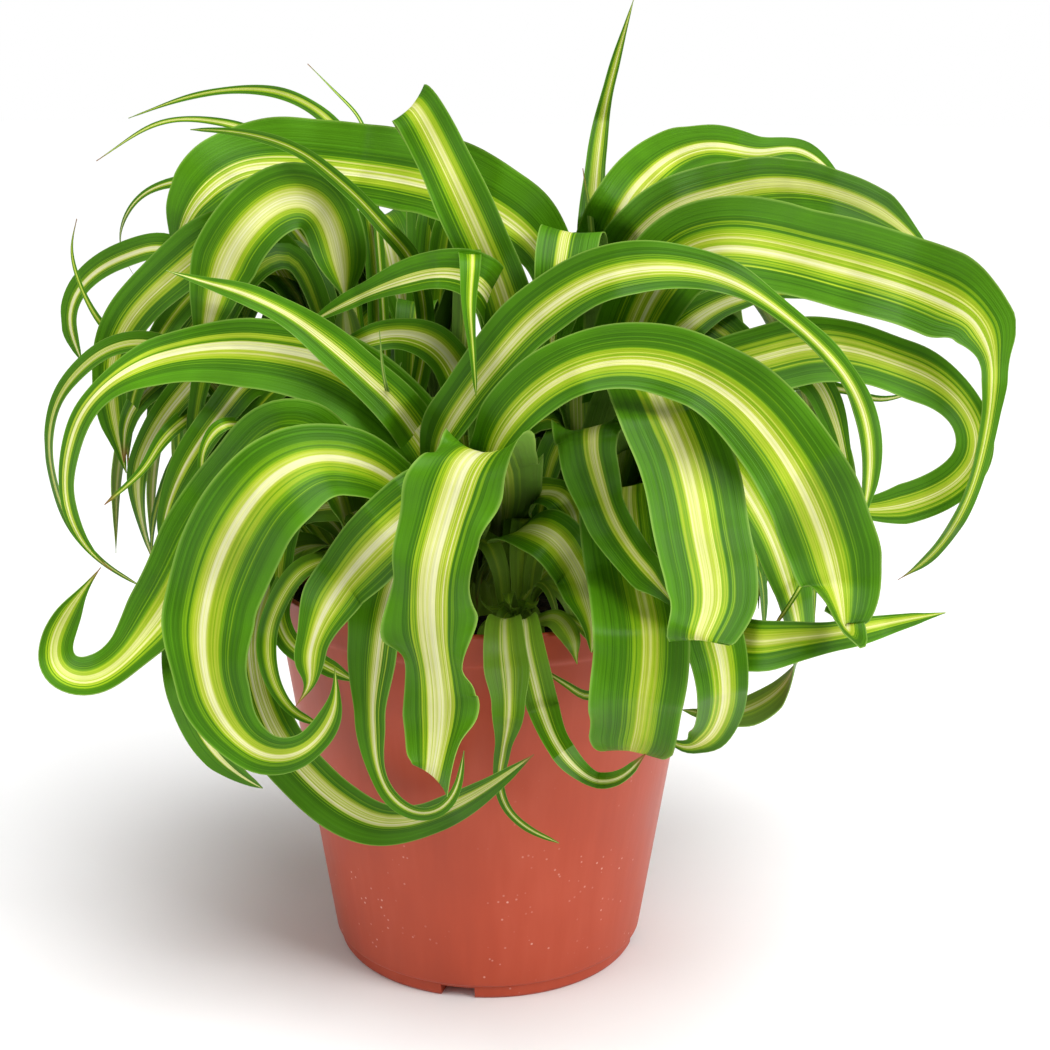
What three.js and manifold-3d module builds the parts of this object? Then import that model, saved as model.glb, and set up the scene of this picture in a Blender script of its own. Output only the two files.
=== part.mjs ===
// A spider plant in a 12 cm plastic nursery pot: a clump of six leafy crowns with long striped
// strap leaves that arch up, curl over and hang down round the pot.
// Millimetres, +Z up, the middle of the pot's underside at the origin, -Y towards the viewer.
import * as THREE from "three";
import { mergeVertices } from "three/addons/utils/BufferGeometryUtils.js";
import Module from "manifold-3d";

const wasm = await Module();
wasm.setup();

// Driving dimensions
const potHeight = 109.5;
const potTopRadius = 60;
const potBaseRadius = 43.4;
const potWall = 1.4;
const potSides = 36;
const floorThickness = 1.8;
const footHeight = 4;
const footStep = 0.8;
const rimBand = 9;
const rimProud = 0.5;
const notchCount = 4;
const notchWidth = 9.5;
const notchDepth = 6;
const notchHeight = 3;
const notchTurn = -100;
const soilTop = 99.5;
const soilMound = 2.5;
const gap = 0.3;
const crownRadius = 9;
const crownNeck = 6;
const crownSink = 10;
const crownRise = 13;
const bladeMiddle = 1.0;
const bladeEdge = 0.65;
const foldShare = 0.16;
const slimWidth = 16;
const layerGap = 3.6;
const mostStray = 1.5;
const freeBase = 32;
const stalkShare = 0.42;
const stalkLength = 50;
const tipLength = 3;
const tipPower = 0.65;
const leastHalf = 0.8;
const sampleStep = 1.6;
const lipRound = 0.5;
const footRound = 0.6;
const neckSides = 12;

// Where each crown stands on the soil, [x, y]
const crowns = {
  front: [-4, -12],
  right: [30, -4],
  left: [-34, -2],
  low: [8, -39],
  backLeft: [-20, 30],
  backRight: [18, 32],
};

// The drawing plane is the upright plane y = 0, seen from this point. A leaf is drawn on it as
// [x, z, depth] points: each slides along its sight line to its depth y, so a leaf keeps its place
// in the view from the front. A depth left out is filled in evenly. Drawn heights start a little
// above the ground.
const eye = new THREE.Vector3(10, -470, 247.5);
const drawnStart = 2.5;

// Each row is a leaf of the view: crown, width, how far its face turns towards the viewer from base
// to tip, 1 for all the way, how many of its points are out of sight, its drawn points, and for a
// twisted leaf the degrees of twist from base to tip. The furthest comes first, the nearest last.
const drawnLeaves = [
  // upright tips and the high arches at the top right
  ["right", 9, [0.5, 0.5, 0.3], 2, [[30, 130, 6], [27, 165], [27, 200], [27.7, 215], [29.5, 230],
    [32.5, 243], [37, 259, 14]]],
  ["right", 5, [0.3, 0.3], 2, [[28, 140, 4], [27, 180], [27, 200], [24.5, 216, 10]]],
  ["right", 20, [0.2, 0.9, 0.9, 0.6], 2, [[29, 150, 8], [30, 185], [35, 205, 14], [41, 213.5],
    [48.5, 219.5], [57, 222], [65, 221], [71, 220], [77, 221.5], [83, 220.5], [90, 215],
    [97, 206, 44]]],
  ["right", [9, 13, 16, 18, 18, 17, 14, 10], [0.2, 0.9, 0.9, 0.5], 2, [[31, 150, 4], [34, 185, 8],
    [41, 198], [50, 205], [61, 208.5], [71, 210.6], [82, 210.8], [93, 208.6], [102.5, 204.8],
    [110.5, 199.5], [118, 193, 26]]],
  ["right", 6, [0.6, 0.9], 2, [[50, 140, 4], [75, 158], [95, 158], [106, 155], [118, 158, 6]]],
  ["right", 14, [0.3, 0.8, 0.9], 3, [[42, 140, 0], [60, 162], [78, 166, -4], [88, 160], [93.5, 150],
    [96.5, 141], [98.5, 131], [99, 121, -14]]],
  ["right", 14, [0.2, 0.8, 0.8], 2, [[34, 140, 2], [41, 160, 0], [50, 172.5], [60, 180], [72, 184],
    [84, 184], [95, 180.5, -4]]],
  // the loop at the right and the broad arch above it
  ["right", [8, 15, 17, 18, 18, 15, 10, 11, 10], [0.3, 0.9, 0.9, 0.8, 0.7, 0.8, 0.9, 0.9], 2,
    [[38, 125, -4], [52, 155, -8], [64, 162], [77, 166], [87.5, 168.4], [98.2, 167.4],
      [109, 164.2], [119.7, 160.2], [127.4, 154.2], [132, 147], [132.5, 139], [127.5, 132],
      [118, 127], [107.3, 124.6], [97, 124.5, -24]]],
  ["right", [9, 11, 13, 15, 17, 18, 19, 20, 21, 22, 22, 23, 23, 23, 17, 7, 5, 5, 5, 4, 1],
    [0.2, 0.8, 0.9, 0.9, 0.9, 0.9, 0.8, 0.4, 0.5],
    2, [[33, 130, -2], [36, 165, -2], [43, 184], [50, 193.5], [57.5, 197], [65.5, 197.4],
      [75, 196], [86.3, 193.4], [99.5, 190.2], [112.7, 186.5, -8], [123, 182.6], [130, 179],
      [134.5, 172.5], [136.5, 164, -4], [136.6, 155], [135.8, 146], [134, 135], [131, 124.7],
      [126, 115], [120, 108], [114, 104, 6]]],
  // left side, the furthest first
  ["left", 7, [0.9, 0.9, 0.3], 3, [[-38, 150, 10], [-48, 195], [-62, 208], [-75, 212], [-84, 211.5],
    [-92, 208], [-97, 201], [-98, 194], [-94, 186, 30]]],
  ["left", 6, [0.8, 0.8], 2, [[-30, 150, 8], [-32, 205], [-40, 226], [-52, 234], [-64, 235.5],
    [-78, 233.5], [-94, 228, 38]]],
  ["left", 4.5, [0.8, 0.8], 3, [[-34, 150, 6], [-42, 205], [-58, 223], [-72, 227.5], [-86, 227],
    [-103, 217, 26]]],
  ["left", 3, [0.3, 0.3], 2, [[-28, 150, 6], [-30, 205], [-33, 227], [-40, 235], [-47, 242, 30]]],
  ["left", [6, 9, 9, 7, 4], [0.5, 0.9, 0.8], 2, [[-60, 130, 6], [-72, 180], [-85, 195], [-96, 193],
    [-105, 188.5], [-111, 182], [-113, 174], [-110, 164, 10]]],
  ["left", 4, [0.6, 0.6], 2, [[-70, 140, 4], [-95, 165], [-104, 174], [-109, 184], [-111, 194],
    [-109, 202, 4]]],
  ["right", [8, 8, 9, 9, 10, 13, 18, 21, 21, 21, 18, 14, 8], [0.2, 0.9, 0.9, 0.9, 0.9, 0.8, 0.8, 0.7, 0.5],
    2, [[22, 140, 0], [20, 175], [17.7, 190], [11.3, 200], [2.8, 206.5], [-7, 211.3],
      [-19.4, 214.4], [-31.6, 216.2], [-44, 217.6], [-56, 218.3], [-66, 217], [-73, 213, 0],
      [-78.5, 207], [-82, 199.5], [-83.5, 191, 20]]],
  ["left", [6, 10, 13, 15, 15, 14, 12, 9, 4], [0.3, 0.9, 0.9, 0.8, 0.8], 3, [[-40, 150, 2],
    [-56, 190], [-66, 198], [-73, 197], [-79.5, 192], [-87.2, 185.8], [-96, 177], [-101.5, 167],
    [-102.8, 156.5], [-101.8, 145], [-99.5, 133, 0]]],
  ["front", [6, 9, 11, 13, 14, 14, 13, 12, 12], [0, 0], 2, [[-2, 130, -4], [4, 160], [5.5, 176],
    [2.9, 185.2], [-3.4, 200], [-9.5, 213], [-14.4, 223], [-18.5, 230.5, -2], [-20.5, 231.5, 5],
    [-18.5, 225, 14], [-14, 214, 20]], [180, 180]],
  ["left", [6, 9, 10, 11, 15, 17, 17, 15], [-0.3, -0.6, -0.3, 0.9, 0.9, 0.9], 1, [[-36, 140, -2],
    [-38.5, 176], [-39.5, 191], [-41.5, 201, -6], [-46, 207.5], [-52, 208.5], [-58, 206],
    [-64.2, 200.5], [-69.4, 193], [-72.8, 184.7], [-75.5, 175], [-77.5, 166, -12]]],
  ["left", [3, 4, 5, 5, 5, 4, 3, 1], [0.6, 0.9, 0.9], 2, [[-24, 140, 0], [-17, 172], [-20.5, 192],
    [-27, 199.6], [-34, 207.4], [-41, 213.6], [-47.5, 218.7], [-55, 222.2], [-63, 224.2],
    [-70, 225.1], [-78, 225.2, 4]]],
  ["front", 15, [0.2, 0.9, 0.9], 2, [[0, 140, -10], [3, 176], [-2, 187], [-12, 189.5], [-22, 187.5],
    [-32, 183.5], [-42, 178.5], [-51, 173, -14]]],
  ["front", 13, [0.3, 0.9, 0.9], 2, [[-4, 135, -12], [-8, 160], [-15, 169.5], [-25, 172],
    [-35, 169.5], [-45, 164], [-53, 156, -16]]],
  // hanging leaves of the left middle
  ["left", [7, 13, 13, 9, 3], [0.2, 0.8, 0.8, 0.6], 4, [[-44, 125, -2], [-62, 158], [-78, 164],
    [-90, 158], [-98, 148], [-100, 136, -8]]],
  ["left", [5, 8, 9, 8, 6, 2], [0.3, 0.9, 0.9, 0.3], 3, [[-42, 130, -4], [-60, 160], [-74, 164],
    [-84, 155], [-92, 144], [-96.5, 133], [-96, 120], [-93, 107, -14]]],
  ["left", [5, 6, 5, 1], [0.6, 0.9, 0.8], 3, [[-44, 128, -4], [-62, 150], [-76, 152], [-88, 144],
    [-95, 134], [-106, 124, -10]]],
  ["left", [5, 7, 6], [0.8, 0.9], 2, [[-44, 122, -6], [-60, 142], [-72, 144], [-80, 137], [-86, 124],
    [-90, 112, -14]]],
  ["left", [6, 10, 10, 8, 3], [0.2, 0.9, 0.9, 0.6], 3, [[-40, 125, -6], [-52, 154], [-63, 160],
    [-73, 150], [-80.5, 140], [-86, 130], [-89.5, 120], [-91, 110, -18]]],
  ["left", 6, [0.5, 0.8], 2, [[-44, 118, -6], [-60, 143], [-72, 147], [-78, 140], [-79, 126, -14]]],
  ["left", 10, [0.5, 0.9], 1, [[-36, 112, -10], [-36, 121], [-44, 123.5], [-54, 120], [-60, 110, -24]]],
  // the big arch to the left and the two thin leaves that fall with it
  ["left", [5, 7, 6, 5, 4, 1], [0.6, 0.9, 0.8, 0.3, 0.6], 2, [[-56, 130, -2], [-78, 162], [-91, 169.5],
    [-102, 168], [-111, 161.5], [-117, 153.5], [-120, 143], [-119.5, 131], [-116, 119],
    [-108, 108], [-97, 100.5, -24]]],
  ["front", [8, 16, 19, 20, 18, 13, 8, 5, 1], [0.3, 0.9, 0.9, 0.9, 0.8, 0.5, 0.6, 0.9], 1,
    [[-10, 118, -14], [-18, 140], [-29, 153], [-43, 162], [-57, 165.5], [-70, 166.5],
      [-82, 165.5], [-93, 162.5], [-103, 157], [-110, 149.5], [-114, 140], [-116, 130],
      [-115, 120], [-111, 111], [-105, 105, -26]]],
  ["front", [6, 10, 12, 10, 6, 1], [0.5, 0.9, 0.8], 1, [[-12, 130, -18], [-24, 151], [-33, 160],
    [-43, 169], [-53, 176.5], [-65, 182.3], [-76, 185.5], [-86, 188.5, -26]]],
  // centre: the hump, the long arches and the tips that hang before them
  ["right", [8, 18, 19, 15, 6], [0, 0, 0], 2, [[26, 140, -6], [24, 180], [22, 200, -14],
    [20, 190, -24], [18, 176], [17, 160, -26]]],
  ["front", [6, 11, 13, 14, 13, 9, 8, 8, 3], [0, 0.3, 0.6, 0.8, 0.8, 0.3, 0.5, 0.6], 1,
    [[-12, 118, -16], [-14, 140], [-8, 152], [0, 163], [12, 177], [27, 187], [41, 190.5],
      [55, 190], [66, 186.5], [77, 179.5], [88, 170.5], [96.5, 161.5], [101.5, 152.5],
      [104, 143], [104.5, 132], [102.5, 118, -46]]],
  ["front", [3, 6, 6, 1], [0, 0], 3, [[-8, 130, -12], [-7, 170], [-6, 194, -22], [-5, 192, -34],
    [-5.5, 180, -38], [-4.5, 168], [-3.5, 155, -40]]],
  ["front", 2.5, [0, 0], 1, [[-20, 135, -14], [-28, 158], [-29.5, 173, -18]]],
  // inner arches over the soil
  ["front", [7, 10, 11, 9, 4], [0.5, 0.9, 0.9], 1, [[0, 106, -14], [3, 115], [7, 122.5],
    [13, 127.5], [19, 127.5], [23, 122.5], [24.5, 114, -28]]],
  ["low", 9, [0, 0.6, 0.9], 0, [[8, 92, -37], [12, 100], [19, 107], [26, 106], [32, 98, -34]]],
  ["front", [6, 13, 14, 13, 8], [0.3, 0.6, 0.6, 0.3], 1, [[-1, 104, -14], [3, 112], [9, 117.5],
    [17, 115.5], [23, 108], [27, 99], [29, 90], [29, 82, -62]]],
  ["low", [4, 9, 8, 2], [0.3, 0.6, 0.5], 0, [[10, 88, -42], [14.5, 91], [19, 91.5, -56], [23, 86, -63],
    [25, 78.5, -66]]],
  // leaves of the right middle that reach low
  ["right", [7, 14, 14, 14, 13, 13, 12, 8], [0.2, 0.5, 0.7, 0.7, 0.2, -0.6, -0.6, -0.6], 3,
    [[38, 118, -12], [52, 136], [64, 138, -34], [74, 125], [79.5, 114], [83.5, 103], [86.5, 92],
      [87.5, 82, -54], [84, 73], [76, 66.5], [66, 63.5], [55, 65, -48]]],
  ["right", [4, 3, 1], [0.5, 0.5], 3, [[42, 118, -20], [70, 128, -44], [90, 112], [86, 100],
    [80, 90, -58]]],
  ["right", [7, 14, 14, 13, 7, 2], [0.3, 0.9, 0.9, 0.9], 3, [[40, 112, -16], [52, 104, -44], [62, 90],
    [73, 84, -66], [86, 85.5], [101, 88], [115, 91.5], [128, 94.5, -66]]],
  ["right", [6, 12, 15, 15, 12, 6], [0, 0.2, 0.3, 0.3, 0.9], 3, [[38, 112, -18], [50, 108, -40],
    [59, 97, -58], [63, 86], [65.5, 76, -66], [66, 66], [63, 57.5], [57, 53.5], [51, 56, -60]]],
  ["low", [3, 4, 3, 1], [0.2, 0.5], 3, [[12, 90, -43], [22, 92, -55], [33, 80, -64], [33, 71],
    [28, 69], [22, 72.5], [14.3, 77.5, -68]]],
  // the wavy leaf and the broad one that hangs beside it
  ["right", [8, 16, 20, 22, 22, 22, 20, 12], [0, 0, 0, 0.2], 2, [[36, 118, -14], [37, 130, -28],
    [37, 124, -42], [38.5, 112], [41, 100, -58], [43, 88, -66], [43, 78], [42, 68], [41.5, 59],
    [40, 51.5, -72], [42.5, 57, -64], [45, 66, -62]]],
  ["right", [7, 15, 19, 18, 14, 11, 9, 4], [0.2, 0.2, 0, 0.2, 0.5, 0.8, 0.8], 2,
    [[33, 120, -10], [31, 140, -20], [27, 146.5, -32], [27, 139, -44], [30, 129], [34, 119],
      [40, 110], [47, 102], [54, 94, -64]]],
  // the two broad arches to the right, nearest last
  ["right", [8, 16, 22, 23, 23, 22, 19, 10], [0, 0.2, 0.2, 0.2, 0], 3, [[34, 125, -16],
    [38, 148, -28], [43, 158.5, -44], [48, 150, -56], [53, 139], [56.5, 127], [59, 115],
    [61.5, 104], [62, 95], [58.5, 85, -80], [63.5, 91, -70], [69, 101, -66]]],
  ["front", [8, 12, 14, 15, 17, 20, 22, 22, 16], [0.2, 0.6, 0.8, 0.9, 0.9, 0.9, 0.8, 0.6], 1,
    [[-2, 112, -16], [-1, 130], [1.5, 142], [8.4, 152.8, -26], [19.2, 161.5], [30, 165.5],
      [43.3, 166], [57, 162], [69.4, 154], [79.4, 143], [87.7, 130], [94, 116], [98, 102],
      [100, 88, -78], [99, 96, -68], [97, 106, -64]]],
  // small leaves that hang over the rim
  ["left", [5, 7, 6, 4], [0.3, 0.8, 0.8], 3, [[-40, 110, -14], [-53, 106, -32], [-59, 94, -42],
    [-56, 84, -48], [-47, 78], [-38, 73, -60]]],
  ["low", [6, 9, 9, 8, 6, 4, 2], [0.2, 0.3, 0.5, 0.6], 2, [[9.5, 88.5, -47], [10.5, 91.5, -58],
    [11.5, 83, -66], [13.5, 74], [16, 64], [20, 54], [26, 46.5], [32, 43], [38.5, 44.5],
    [45, 51.5, -62]]],
  ["low", [6, 10, 12, 12, 8, 4, 2.5, 2, 1], [0, 0, 0.2, 0.3], 2, [[6, 88.5, -48], [4.5, 91.5, -58.5],
    [4.5, 83, -66], [5.5, 73], [5.5, 62], [4, 52], [3, 42], [5.5, 34], [11.5, 28],
    [20.5, 23.5, -62]]],
  // leaves that hang at the left
  ["left", [6, 10, 12, 12, 10, 8], [0.5, 0.8, 0.8, 0.5], 4, [[-44, 120, -14], [-60, 124], [-76, 108],
    [-84, 90], [-86, 76, -40], [-84.5, 64], [-80, 53.5], [-73, 45.5], [-65, 40, -36]]],
  ["left", [6, 11, 14, 14, 13, 8, 2], [0.5, 0.8, 0.9, 0.9, 0.8], 4, [[-42, 112, -18], [-56, 110],
    [-66, 92], [-67, 74, -46], [-62, 57], [-53, 44], [-43, 34.5], [-32, 29], [-20, 30],
    [-9, 35, -66], [1, 41.5], [13, 51, -64]]],
  ["left", [6, 6, 5, 2], [0.3, 0.6, 0.6], 2, [[-42, 108, -20], [-54, 104, -40], [-62, 88],
    [-61.5, 74], [-56, 64], [-48, 59.5, -56]]],
  ["front", [6, 13, 16, 16, 15, 8, 4, 3, 1], [0.2, 0, 0, 0, 0.3, 0.6, 0.6], 2,
    [[-12, 106, -24], [-22, 112, -40], [-28, 102, -56], [-31, 91, -66], [-32.5, 80],
      [-33.5, 69], [-33.5, 58], [-32, 46, -70], [-28, 37], [-20.5, 32], [-13.5, 33.5],
      [-9, 40], [-7, 52, -68]]],
  ["left", [8, 17, 20, 20, 20, 17, 13, 9, 2], [0.3, 0.7, 0.8, 0.8, 0.9, 0.5, 0.6, 0.6], 1,
    [[-40, 122, -8], [-46, 138], [-55, 143, -24], [-66, 133], [-77, 119], [-86, 103, -44],
      [-96, 87.5], [-106, 76.5], [-115, 72.5, -52], [-122, 76], [-122.5, 83], [-119, 91],
      [-114, 98.5], [-108, 106, -46]]],
  ["front", [8, 11, 14, 18, 23, 24, 23, 18, 12, 7, 2], [0.2, 0.4, 0.7, 0.8, 0.9, 0.8, 0.8, 0.7, 0.6], 1,
    [[-14, 108, -20], [-20, 122], [-27, 131, -30], [-37, 135.5], [-48, 136, -42], [-58.5, 130],
      [-67.5, 119, -54], [-74, 106], [-78, 92], [-79, 79, -66], [-77, 67], [-71.5, 56.5],
      [-63, 50.5], [-54, 51.5, -68], [-47, 58.5], [-43.5, 67.5], [-43.5, 77, -64]]],
  ["front", [8, 14, 18, 19, 18, 15, 8, 1], [0.2, 0.3, 0.3, 0.3, 0.3, 0.8], 1, [[-8, 114, -22],
    [-11, 127, -34], [-19, 123.5, -46], [-30, 114], [-40, 102.5], [-47, 91, -66], [-50.5, 80],
    [-50.5, 72], [-55, 65, -68]]],
  // the nearest leaf, wavy, falls down the middle
  ["front", [9, 16, 21, 22, 22, 22, 22, 22, 22, 20, 14], [0, 0, 0.2, 0, 0], 2, [[2, 112, -18],
    [3, 130, -22], [-1, 139.5, -34], [-6, 136, -46], [-9.5, 127, -58], [-12.5, 117],
    [-15, 107, -68], [-16, 97], [-15.5, 87], [-14, 76], [-13, 66], [-13.5, 56], [-15, 47, -80],
    [-16, 43, -75], [-15, 50, -69], [-14, 58, -66]]],
];

// The leaves behind follow a rule instead, tier over tier: rows of [crown, first and last compass
// heading, how many, reach, height of the arch, height of the tip], with small seeded differences
const rearRows = [
  ["backLeft", 88, 190, 3, 50, 150, 98],
  ["backRight", -8, 88, 3, 50, 152, 96],
  ["backLeft", 96, 190, 4, 74, 172, 90],
  ["backRight", -4, 84, 4, 72, 170, 94],
  ["backLeft", 90, 184, 5, 94, 198, 92],
  ["backRight", -4, 90, 5, 92, 193, 94],
];
const rearSwing = 16;
const rearOffset = 3;

const leafStations = 72;
const cell = 3;
const drawnLeft = -180;
const drawnRight = 200;
const drawnLow = -40;
const drawnHigh = 290;
const columns = Math.ceil((drawnRight - drawnLeft) / cell);
const rows = Math.ceil((drawnHigh - drawnLow) / cell);

// Small helpers
const clamp01 = (value) => Math.min(1, Math.max(0, value));
const smooth = (value) => clamp01(value) ** 2 * (3 - 2 * clamp01(value));
const mix = (a, b, share) => a + (b - a) * share;

// A repeatable number from 0 to 1 for each whole number
function drawNumber(index) {
  const value = Math.sin(index * 12.9898 + 4.137) * 43758.5453;
  return value - Math.floor(value);
}

// Reads a list of values spread evenly from 0 to 1, easing from one to the next
function spread(values, share) {
  const place = clamp01(share) * (values.length - 1);
  const index = Math.min(Math.floor(place), values.length - 2);
  return mix(values[index], values[index + 1], smooth(place - index));
}

// Plain width of a leaf from base to tip, as shares of its full width
const plainWidths = [0.7, 0.85, 1, 1, 0.94, 0.8, 0.58, 0.32, 0.06];

// A drawn point in space, and back
function toSpace(x, z, depth) {
  const scale = (depth - eye.y) / -eye.y;
  const height = eye.z + (z + drawnStart - eye.z) * scale;
  return new THREE.Vector3(eye.x + (x - eye.x) * scale, depth, height);
}

function toDrawing(point) {
  const scale = (point.y - eye.y) / -eye.y;
  const height = eye.z + (point.z - eye.z) / scale - drawnStart;
  return [eye.x + (point.x - eye.x) / scale, height, point.y];
}

// The drawn points of a leaf from its crown on, with the depths that were left out filled in
function fullPath(crown, path) {
  const [x, y] = crowns[crown];
  const points = [toDrawing(new THREE.Vector3(x, y, soilTop + 1)), ...path.map((p) => [...p])];
  let known = 0;
  for (let i = 1; i < points.length; i++) {
    if (points[i].length < 3 && i < points.length - 1) continue;
    if (points[i].length < 3) points[i][2] = points[known][2];
    for (let j = known + 1; j < i; j++) {
      points[j][2] = mix(points[known][2], points[i][2], (j - known) / (i - known));
    }
    known = i;
  }
  return points;
}

// Evenly spaced drawn stations along a smooth curve through the points, kinks blurred out
function drawnStations(points) {
  const curve = new THREE.CatmullRomCurve3(points.map((p) => new THREE.Vector3(...p)), false);
  let stations = curve.getSpacedPoints(leafStations);
  for (let pass = 0; pass < 3; pass++) {
    stations = stations.map((p, i) => {
      if (i === 0 || i === leafStations) return p;
      const sides = stations[i - 1].clone().add(stations[i + 1]);
      return p.clone().multiplyScalar(2).add(sides).multiplyScalar(0.25);
    });
  }
  return stations;
}

// How far a blade would turn about its length for its upper face to look at the viewer. It fades
// out where the leaf points at the viewer and where its underside looks at them.
function turnToViewer(at, along, carried, face) {
  const look = eye.clone().sub(at).normalize();
  look.addScaledVector(along, -look.dot(along));
  const angle = Math.atan2(-look.dot(carried), look.dot(face));
  const kept = Math.min(1, (Math.PI - Math.abs(angle)) / (Math.PI / 3));
  return angle * kept * smooth(look.lengthSq() / 0.3);
}

// The mean of the values from some places before to some places after each one
function runningMean(values, reach) {
  return values.map((_, i) => {
    const near = values.slice(Math.max(0, i - reach), i + reach + 1);
    return near.reduce((sum, value) => sum + value, 0) / near.length;
  });
}

// Places the stations in space and gives each its frame: along the leaf, across the blade and
// out of its upper face. The frame is carried along without twist, then turned.
function frames(leaf) {
  const places = leaf.stations.map((p) => toSpace(p.x, p.y, p.z));
  const base = places[0];
  const away = places.map((p) => Math.hypot(p.x - base.x, p.y - base.y));
  const furthest = places[away.indexOf(Math.max(...away))];
  const heading = new THREE.Vector3(furthest.x - base.x, furthest.y - base.y, 0).normalize();
  let carried = new THREE.Vector3(-heading.y, heading.x, 0);
  const bare = places.map((at, i) => {
    const before = places[Math.max(0, i - 1)];
    const after = places[Math.min(leafStations, i + 1)];
    const along = after.clone().sub(before).normalize();
    carried = carried.clone().addScaledVector(along, -carried.dot(along)).normalize();
    return { at, along, carried, face: along.clone().cross(carried) };
  });
  const wanted = runningMean(bare.map((b) => turnToViewer(b.at, b.along, b.carried, b.face)), 4);
  let from = 0;
  const shape = bare.map(({ at, along, carried: plain, face }, i) => {
    if (i > 0) from += at.distanceTo(places[i - 1]);
    const share = i / leafStations;
    const twist = THREE.MathUtils.degToRad(spread(leaf.twists, share));
    const turn = spread(leaf.turns, share) * wanted[i] + twist;
    const across = plain.clone().multiplyScalar(Math.cos(turn))
      .addScaledVector(face, Math.sin(turn));
    const up = along.clone().cross(across);
    const stalk = mix(stalkShare, 1, smooth(from / stalkLength));
    return { at, from, along, across, up, share, half: stalk * spread(leaf.widths, share) / 2 };
  });
  const tipReach = tipLength * Math.max(1, ...shape.slice(-9).map((frame) => frame.half));
  for (const frame of shape) {
    frame.half *= clamp01((from - frame.from) / tipReach) ** tipPower;
    frame.channel = frame.half * mix(3 * foldShare, foldShare, smooth(frame.share * 2));
  }
  return shape;
}

// A point of the blade: v runs from -1 to 1 across it, and the edges stand up from the fold
function bladePoint(frame, v, lift) {
  return frame.at.clone()
    .addScaledVector(frame.across, v * frame.half)
    .addScaledVector(frame.up, frame.channel * v * v + lift);
}

// A grid over the drawing plane that keeps the nearest depth used so far
const nearest = new Float64Array(columns * rows).fill(Infinity);

function cellOf(x, z) {
  const column = Math.floor((x - drawnLeft) / cell);
  const row = Math.floor((z - drawnLow) / cell);
  if (column < 1 || row < 1 || column > columns - 2 || row > rows - 2) return -1;
  return row * columns + column;
}

// Whether a point is in the wall of the pot or in the soil
function inPot(point) {
  if (point.z < 0 || point.z > potHeight) return false;
  const outer = mix(potBaseRadius, potTopRadius, point.z / potHeight) + rimProud;
  const radius = Math.hypot(point.x, point.y);
  return radius < outer && (point.z < soilTop || radius > outer - potWall - 1);
}

// Marks the depth at which each sight line meets the pot or the soil
function markPot() {
  const potReach = Math.ceil(potTopRadius) + 6;
  for (let row = 0; row < rows; row++) {
    for (let column = 0; column < columns; column++) {
      const x = drawnLeft + (column + 0.5) * cell;
      const z = drawnLow + (row + 0.5) * cell;
      for (let depth = -potReach; depth <= potReach; depth++) {
        if (!inPot(toSpace(x, z, depth))) continue;
        nearest[row * columns + column] = depth;
        break;
      }
    }
  }
}

// The points across a leaf at one station that are tested and marked in the grids
function acrossSamples(frame) {
  const count = Math.max(1, Math.ceil(frame.half / sampleStep));
  const samples = [];
  for (let k = -count; k <= count; k++) samples.push(toDrawing(bladePoint(frame, k / count, 0)));
  return samples;
}

// Marks the depths of a stretch of a leaf in the grids
function markLeaf(leaf, first, last) {
  for (const frame of frames(leaf).slice(first, last + 1)) {
    for (const [x, z, depth] of acrossSamples(frame)) {
      const index = cellOf(x, z);
      if (index < 0) continue;
      for (const near of [index, index - 1, index + 1, index - columns, index + columns]) {
        nearest[near] = Math.min(nearest[near], depth);
      }
    }
  }
}

// Slides a leaf along its sight lines towards the viewer until the stretch that is seen lies clear
// of everything laid before it. The push is smoothed along the leaf and fades at its base.
function layClear(leaf) {
  const window = 5;
  for (let round = 0; round < 3; round++) {
    const shape = frames(leaf);
    const need = shape.map((frame, i) => {
      if (i < leaf.seenFrom) return 0;
      let most = 0;
      for (const [x, z, depth] of acrossSamples(frame)) {
        const index = cellOf(x, z);
        if (index < 0) continue;
        most = Math.max(most, depth - nearest[index] + layerGap);
      }
      return most * smooth((frame.from - freeBase) / freeBase);
    });
    if (Math.max(...need) < 0.05) break;
    const widened = need.map((_, i) => Math.max(...need.slice(Math.max(0, i - window),
      i + window + 1)));
    leaf.stations.forEach((p, i) => {
      const near = widened.slice(Math.max(0, i - window), i + window + 1);
      const push = near.reduce((sum, value) => sum + value, 0) / near.length;
      p.z -= push * smooth((shape[i].from - 10) / 20);
    });
  }
  markLeaf(leaf, leaf.seenFrom, leafStations);
}

function makeLeaf(crown, width, turns, hidden, path, twists = [0, 0]) {
  const widths = typeof width === "number" ? plainWidths.map((share) => share * width) : width;
  const points = fullPath(crown, path);
  const stations = drawnStations(points);
  const firstSeen = new THREE.Vector3(...points[hidden + 1]);
  const steps = stations.map((p) => p.distanceTo(firstSeen));
  const seenFrom = steps.indexOf(Math.min(...steps));
  return { crown, widths, turns, twists, stations, seenFrom };
}

// A rear leaf as drawn points: an arch that rises from its crown, leans out and hangs, and swings
// a little to one side on the way
function rearPath(crown, heading, swing, reach, top, tip) {
  const [x, y] = crowns[crown];
  const rise = top - soilTop;
  const drop = top - tip;
  const profile = [[0.05, soilTop + 0.35 * rise], [0.14, soilTop + 0.75 * rise], [0.36, top],
    [0.62, top - 0.08 * drop], [0.84, top - 0.36 * drop], [0.97, top - 0.7 * drop], [1, tip]];
  return profile.map(([share, z]) => {
    const angle = THREE.MathUtils.degToRad(heading + swing * share);
    const away = rearOffset + reach * share;
    return toDrawing(new THREE.Vector3(x + Math.cos(angle) * away, y + Math.sin(angle) * away, z));
  });
}

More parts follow.
